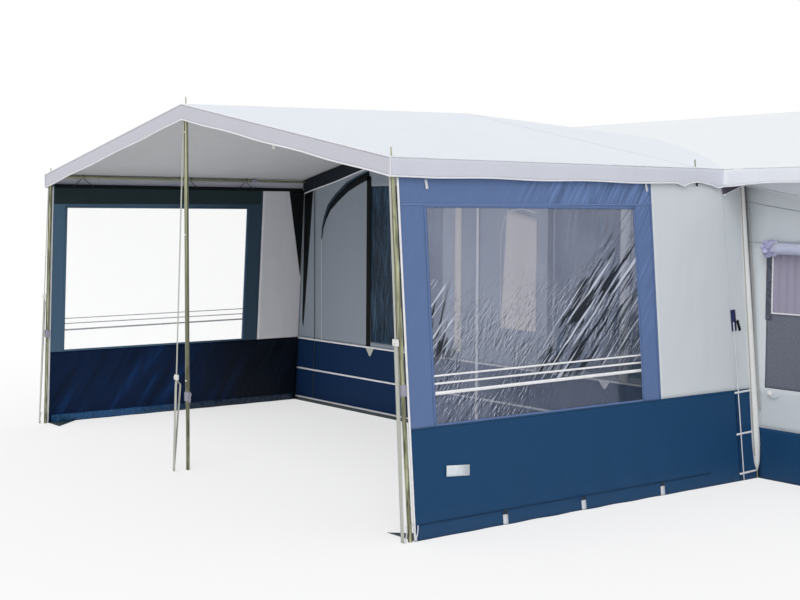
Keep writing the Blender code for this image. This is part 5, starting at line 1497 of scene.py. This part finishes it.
def strap(name, side, top_z, reach, buckle_z, spread):
    """Two ribbons in the strap's plane, which part at the buckle and meet at the foot.

    The foot stands `reach` before the head, and `spread` is how far the ribbons part.
    """
    foot_x = side * POST_FOOT_X
    head = np.array([STRAP_HEAD_Y, top_z])
    tail = np.array([STRAP_HEAD_Y - reach, STRAP_FOOT_Z])
    length = float(np.linalg.norm(tail - head))
    down = (tail - head) / length
    out = np.array([down[1], -down[0]])
    fork = length * (top_z - buckle_z) / top_z
    for layer, sign, start, wide, parted in (("front", 1, 0.0, 0.028, 0.1),
                                             ("rear", -1, fork - FORK_RISE, 0.022, 1.0)):
        far = start + (length - start) * np.linspace(0, 1, 90)
        bow = spread * np.clip((far - fork) / FORK_RISE, 0, 1) * (length - far) / (length - fork)
        offset = sign * (bow * parted + LAYER_OFF)
        y, z = head[:, None] + down[:, None] * far + out[:, None] * offset
        width = np.where(far < fork, SINGLE_WIDTH, wide)[:, None]
        edge = width * np.linspace(-0.5, 0.5, 5)[None]
        points = at((foot_x - side * LEAN * z)[:, None] + edge, y[:, None], z[:, None])
        flat = at(edge, far[:, None])
        cloth(f"{name}_strap_{layer}", points[::sign], flat[::sign], webbing, "strap_web",
              0.0012, stands_for=[f"{name}_strap"])
    bend = np.sin(np.linspace(0, math.pi, 20))
    hook = at(foot_x, tail[0] - 0.002 + 0.010 * bend, np.linspace(0.034, 0.004, 20))
    cord_like(f"{name}_strap_hook", hook, 0.0025, zinc, "zinc_steel", up=(1, 0, 0), sides=8)

# %% Hang the three straps
strap("left", -1, 1.9033, 0.032, 0.985, 0.008)
strap("centre", 0, 2.2970, 0.086, 0.585, 0.030)
strap("right", 1, 1.9033, 0.032, 0.985, 0.008)
print("straps made")

# %% [markdown]
# ## Small fittings of the canopy
# Short webbing tabs hang under the hem for the ground pegs, each from a dark loop.
# The canopy roof's front edge and its two front corners carry a white welded cord.
# A bare, stitched patch marks the right wall's lower front corner. Pale buttons lock
# the centre pole's tubes, short elastic cords run from each wall's front corner down to
# its pole's foot, and a small white clip hangs on the valance's cord.

# %% Pegs and patch
for name, side in SIDES:
    for number, y in enumerate((0.64, 1.23, 1.88), 1):
        hem = -float(skirt_pull(np.array(y), np.array(0.05)))
        wall_tape(f"{name}_peg_tab_{number}", side, (y, 0.056), (y + 0.002, 0.003), 0.034,
                  webbing_pale, "strap_web", hem + 0.0035, 0.0018, 6)
        angle = np.linspace(-0.4, math.pi + 0.4, 15)
        loop = wall_point(side, y + 0.011 * np.cos(angle), 0.062 + 0.018 * np.sin(angle),
                          hem + 0.0045)
        cord_like(f"{name}_peg_loop_{number}", loop, 0.0028, cord_dark, "strap_web",
                  up=(side, 0, LEAN), sides=8)
wall_tape("right_bare_patch", 1, (0.330, 0.352), (0.326, 0.296), 0.155, label_pale, "wall_cloth",
          0.0022, 0.0010, 6)
wall_tape("right_bare_patch_stitch", 1, (0.3295, 0.347), (0.3293, 0.344), 0.148, thread_white,
          "wall_cloth", 0.0027, 0.0008, 4)
print("pegs and patch laid")

# %% Pipings, buttons, foot cords and clip
EDGE_PIPING_RADIUS = 0.0035
edge_x = np.linspace(-ROOF_HALF, ROOF_HALF, 121)
cord_like("roof_edge_piping", at(edge_x, FRONT_Y - 0.001, gable_z(edge_x, FRONT_Y) - 0.002),
          EDGE_PIPING_RADIUS, piping_white, "valance_cloth")
z = np.linspace(EAVE_Z - 0.002, EAVE_Z - 0.098, 14)
for name, side in SIDES:
    cord_like(f"{name}_corner_piping", at(side * (ROOF_HALF + 0.001), FRONT_Y - 0.001, z),
              EDGE_PIPING_RADIUS, piping_white, "valance_cloth", up=(0, 1, 0))
for number, height in enumerate((2.158, 1.510, 0.577), 1):
    bead(f"centre_pole_button_{number}", (0.004, -0.0135, height), 0.0065, buckle_white,
         "buckle_plastic", 0.8)
share = np.linspace(0, 1, 16)
FOOT_CORDS = (((-0.030, 0.088), (-0.040, 0.004)), ((0.008, 0.100), (0.034, 0.004)),
              ((0.046, 0.080), (0.026, 0.004)))
for name, side in SIDES:
    for number, (start, end) in enumerate(FOOT_CORDS, 1):
        y, z = np.linspace(start, end, 16).T
        slackened = 0.006 * np.sin(math.pi * share) + 0.004
        cord_like(f"{name}_foot_cord_{number}", at(side * (half_width(z) + slackened), y, z),
                  0.0028, webbing_pale, "strap_web", sides=8)
ring = np.linspace(0, 2 * math.pi, 21)[:-3]
clip = at(1.105 + 0.010 * np.cos(ring), FRONT_Y - 0.006, 2.024 + 0.012 * np.sin(ring))
cord_like("valance_clip", clip, 0.0032, buckle_white, "buckle_plastic", **upright)
print("fittings laid")
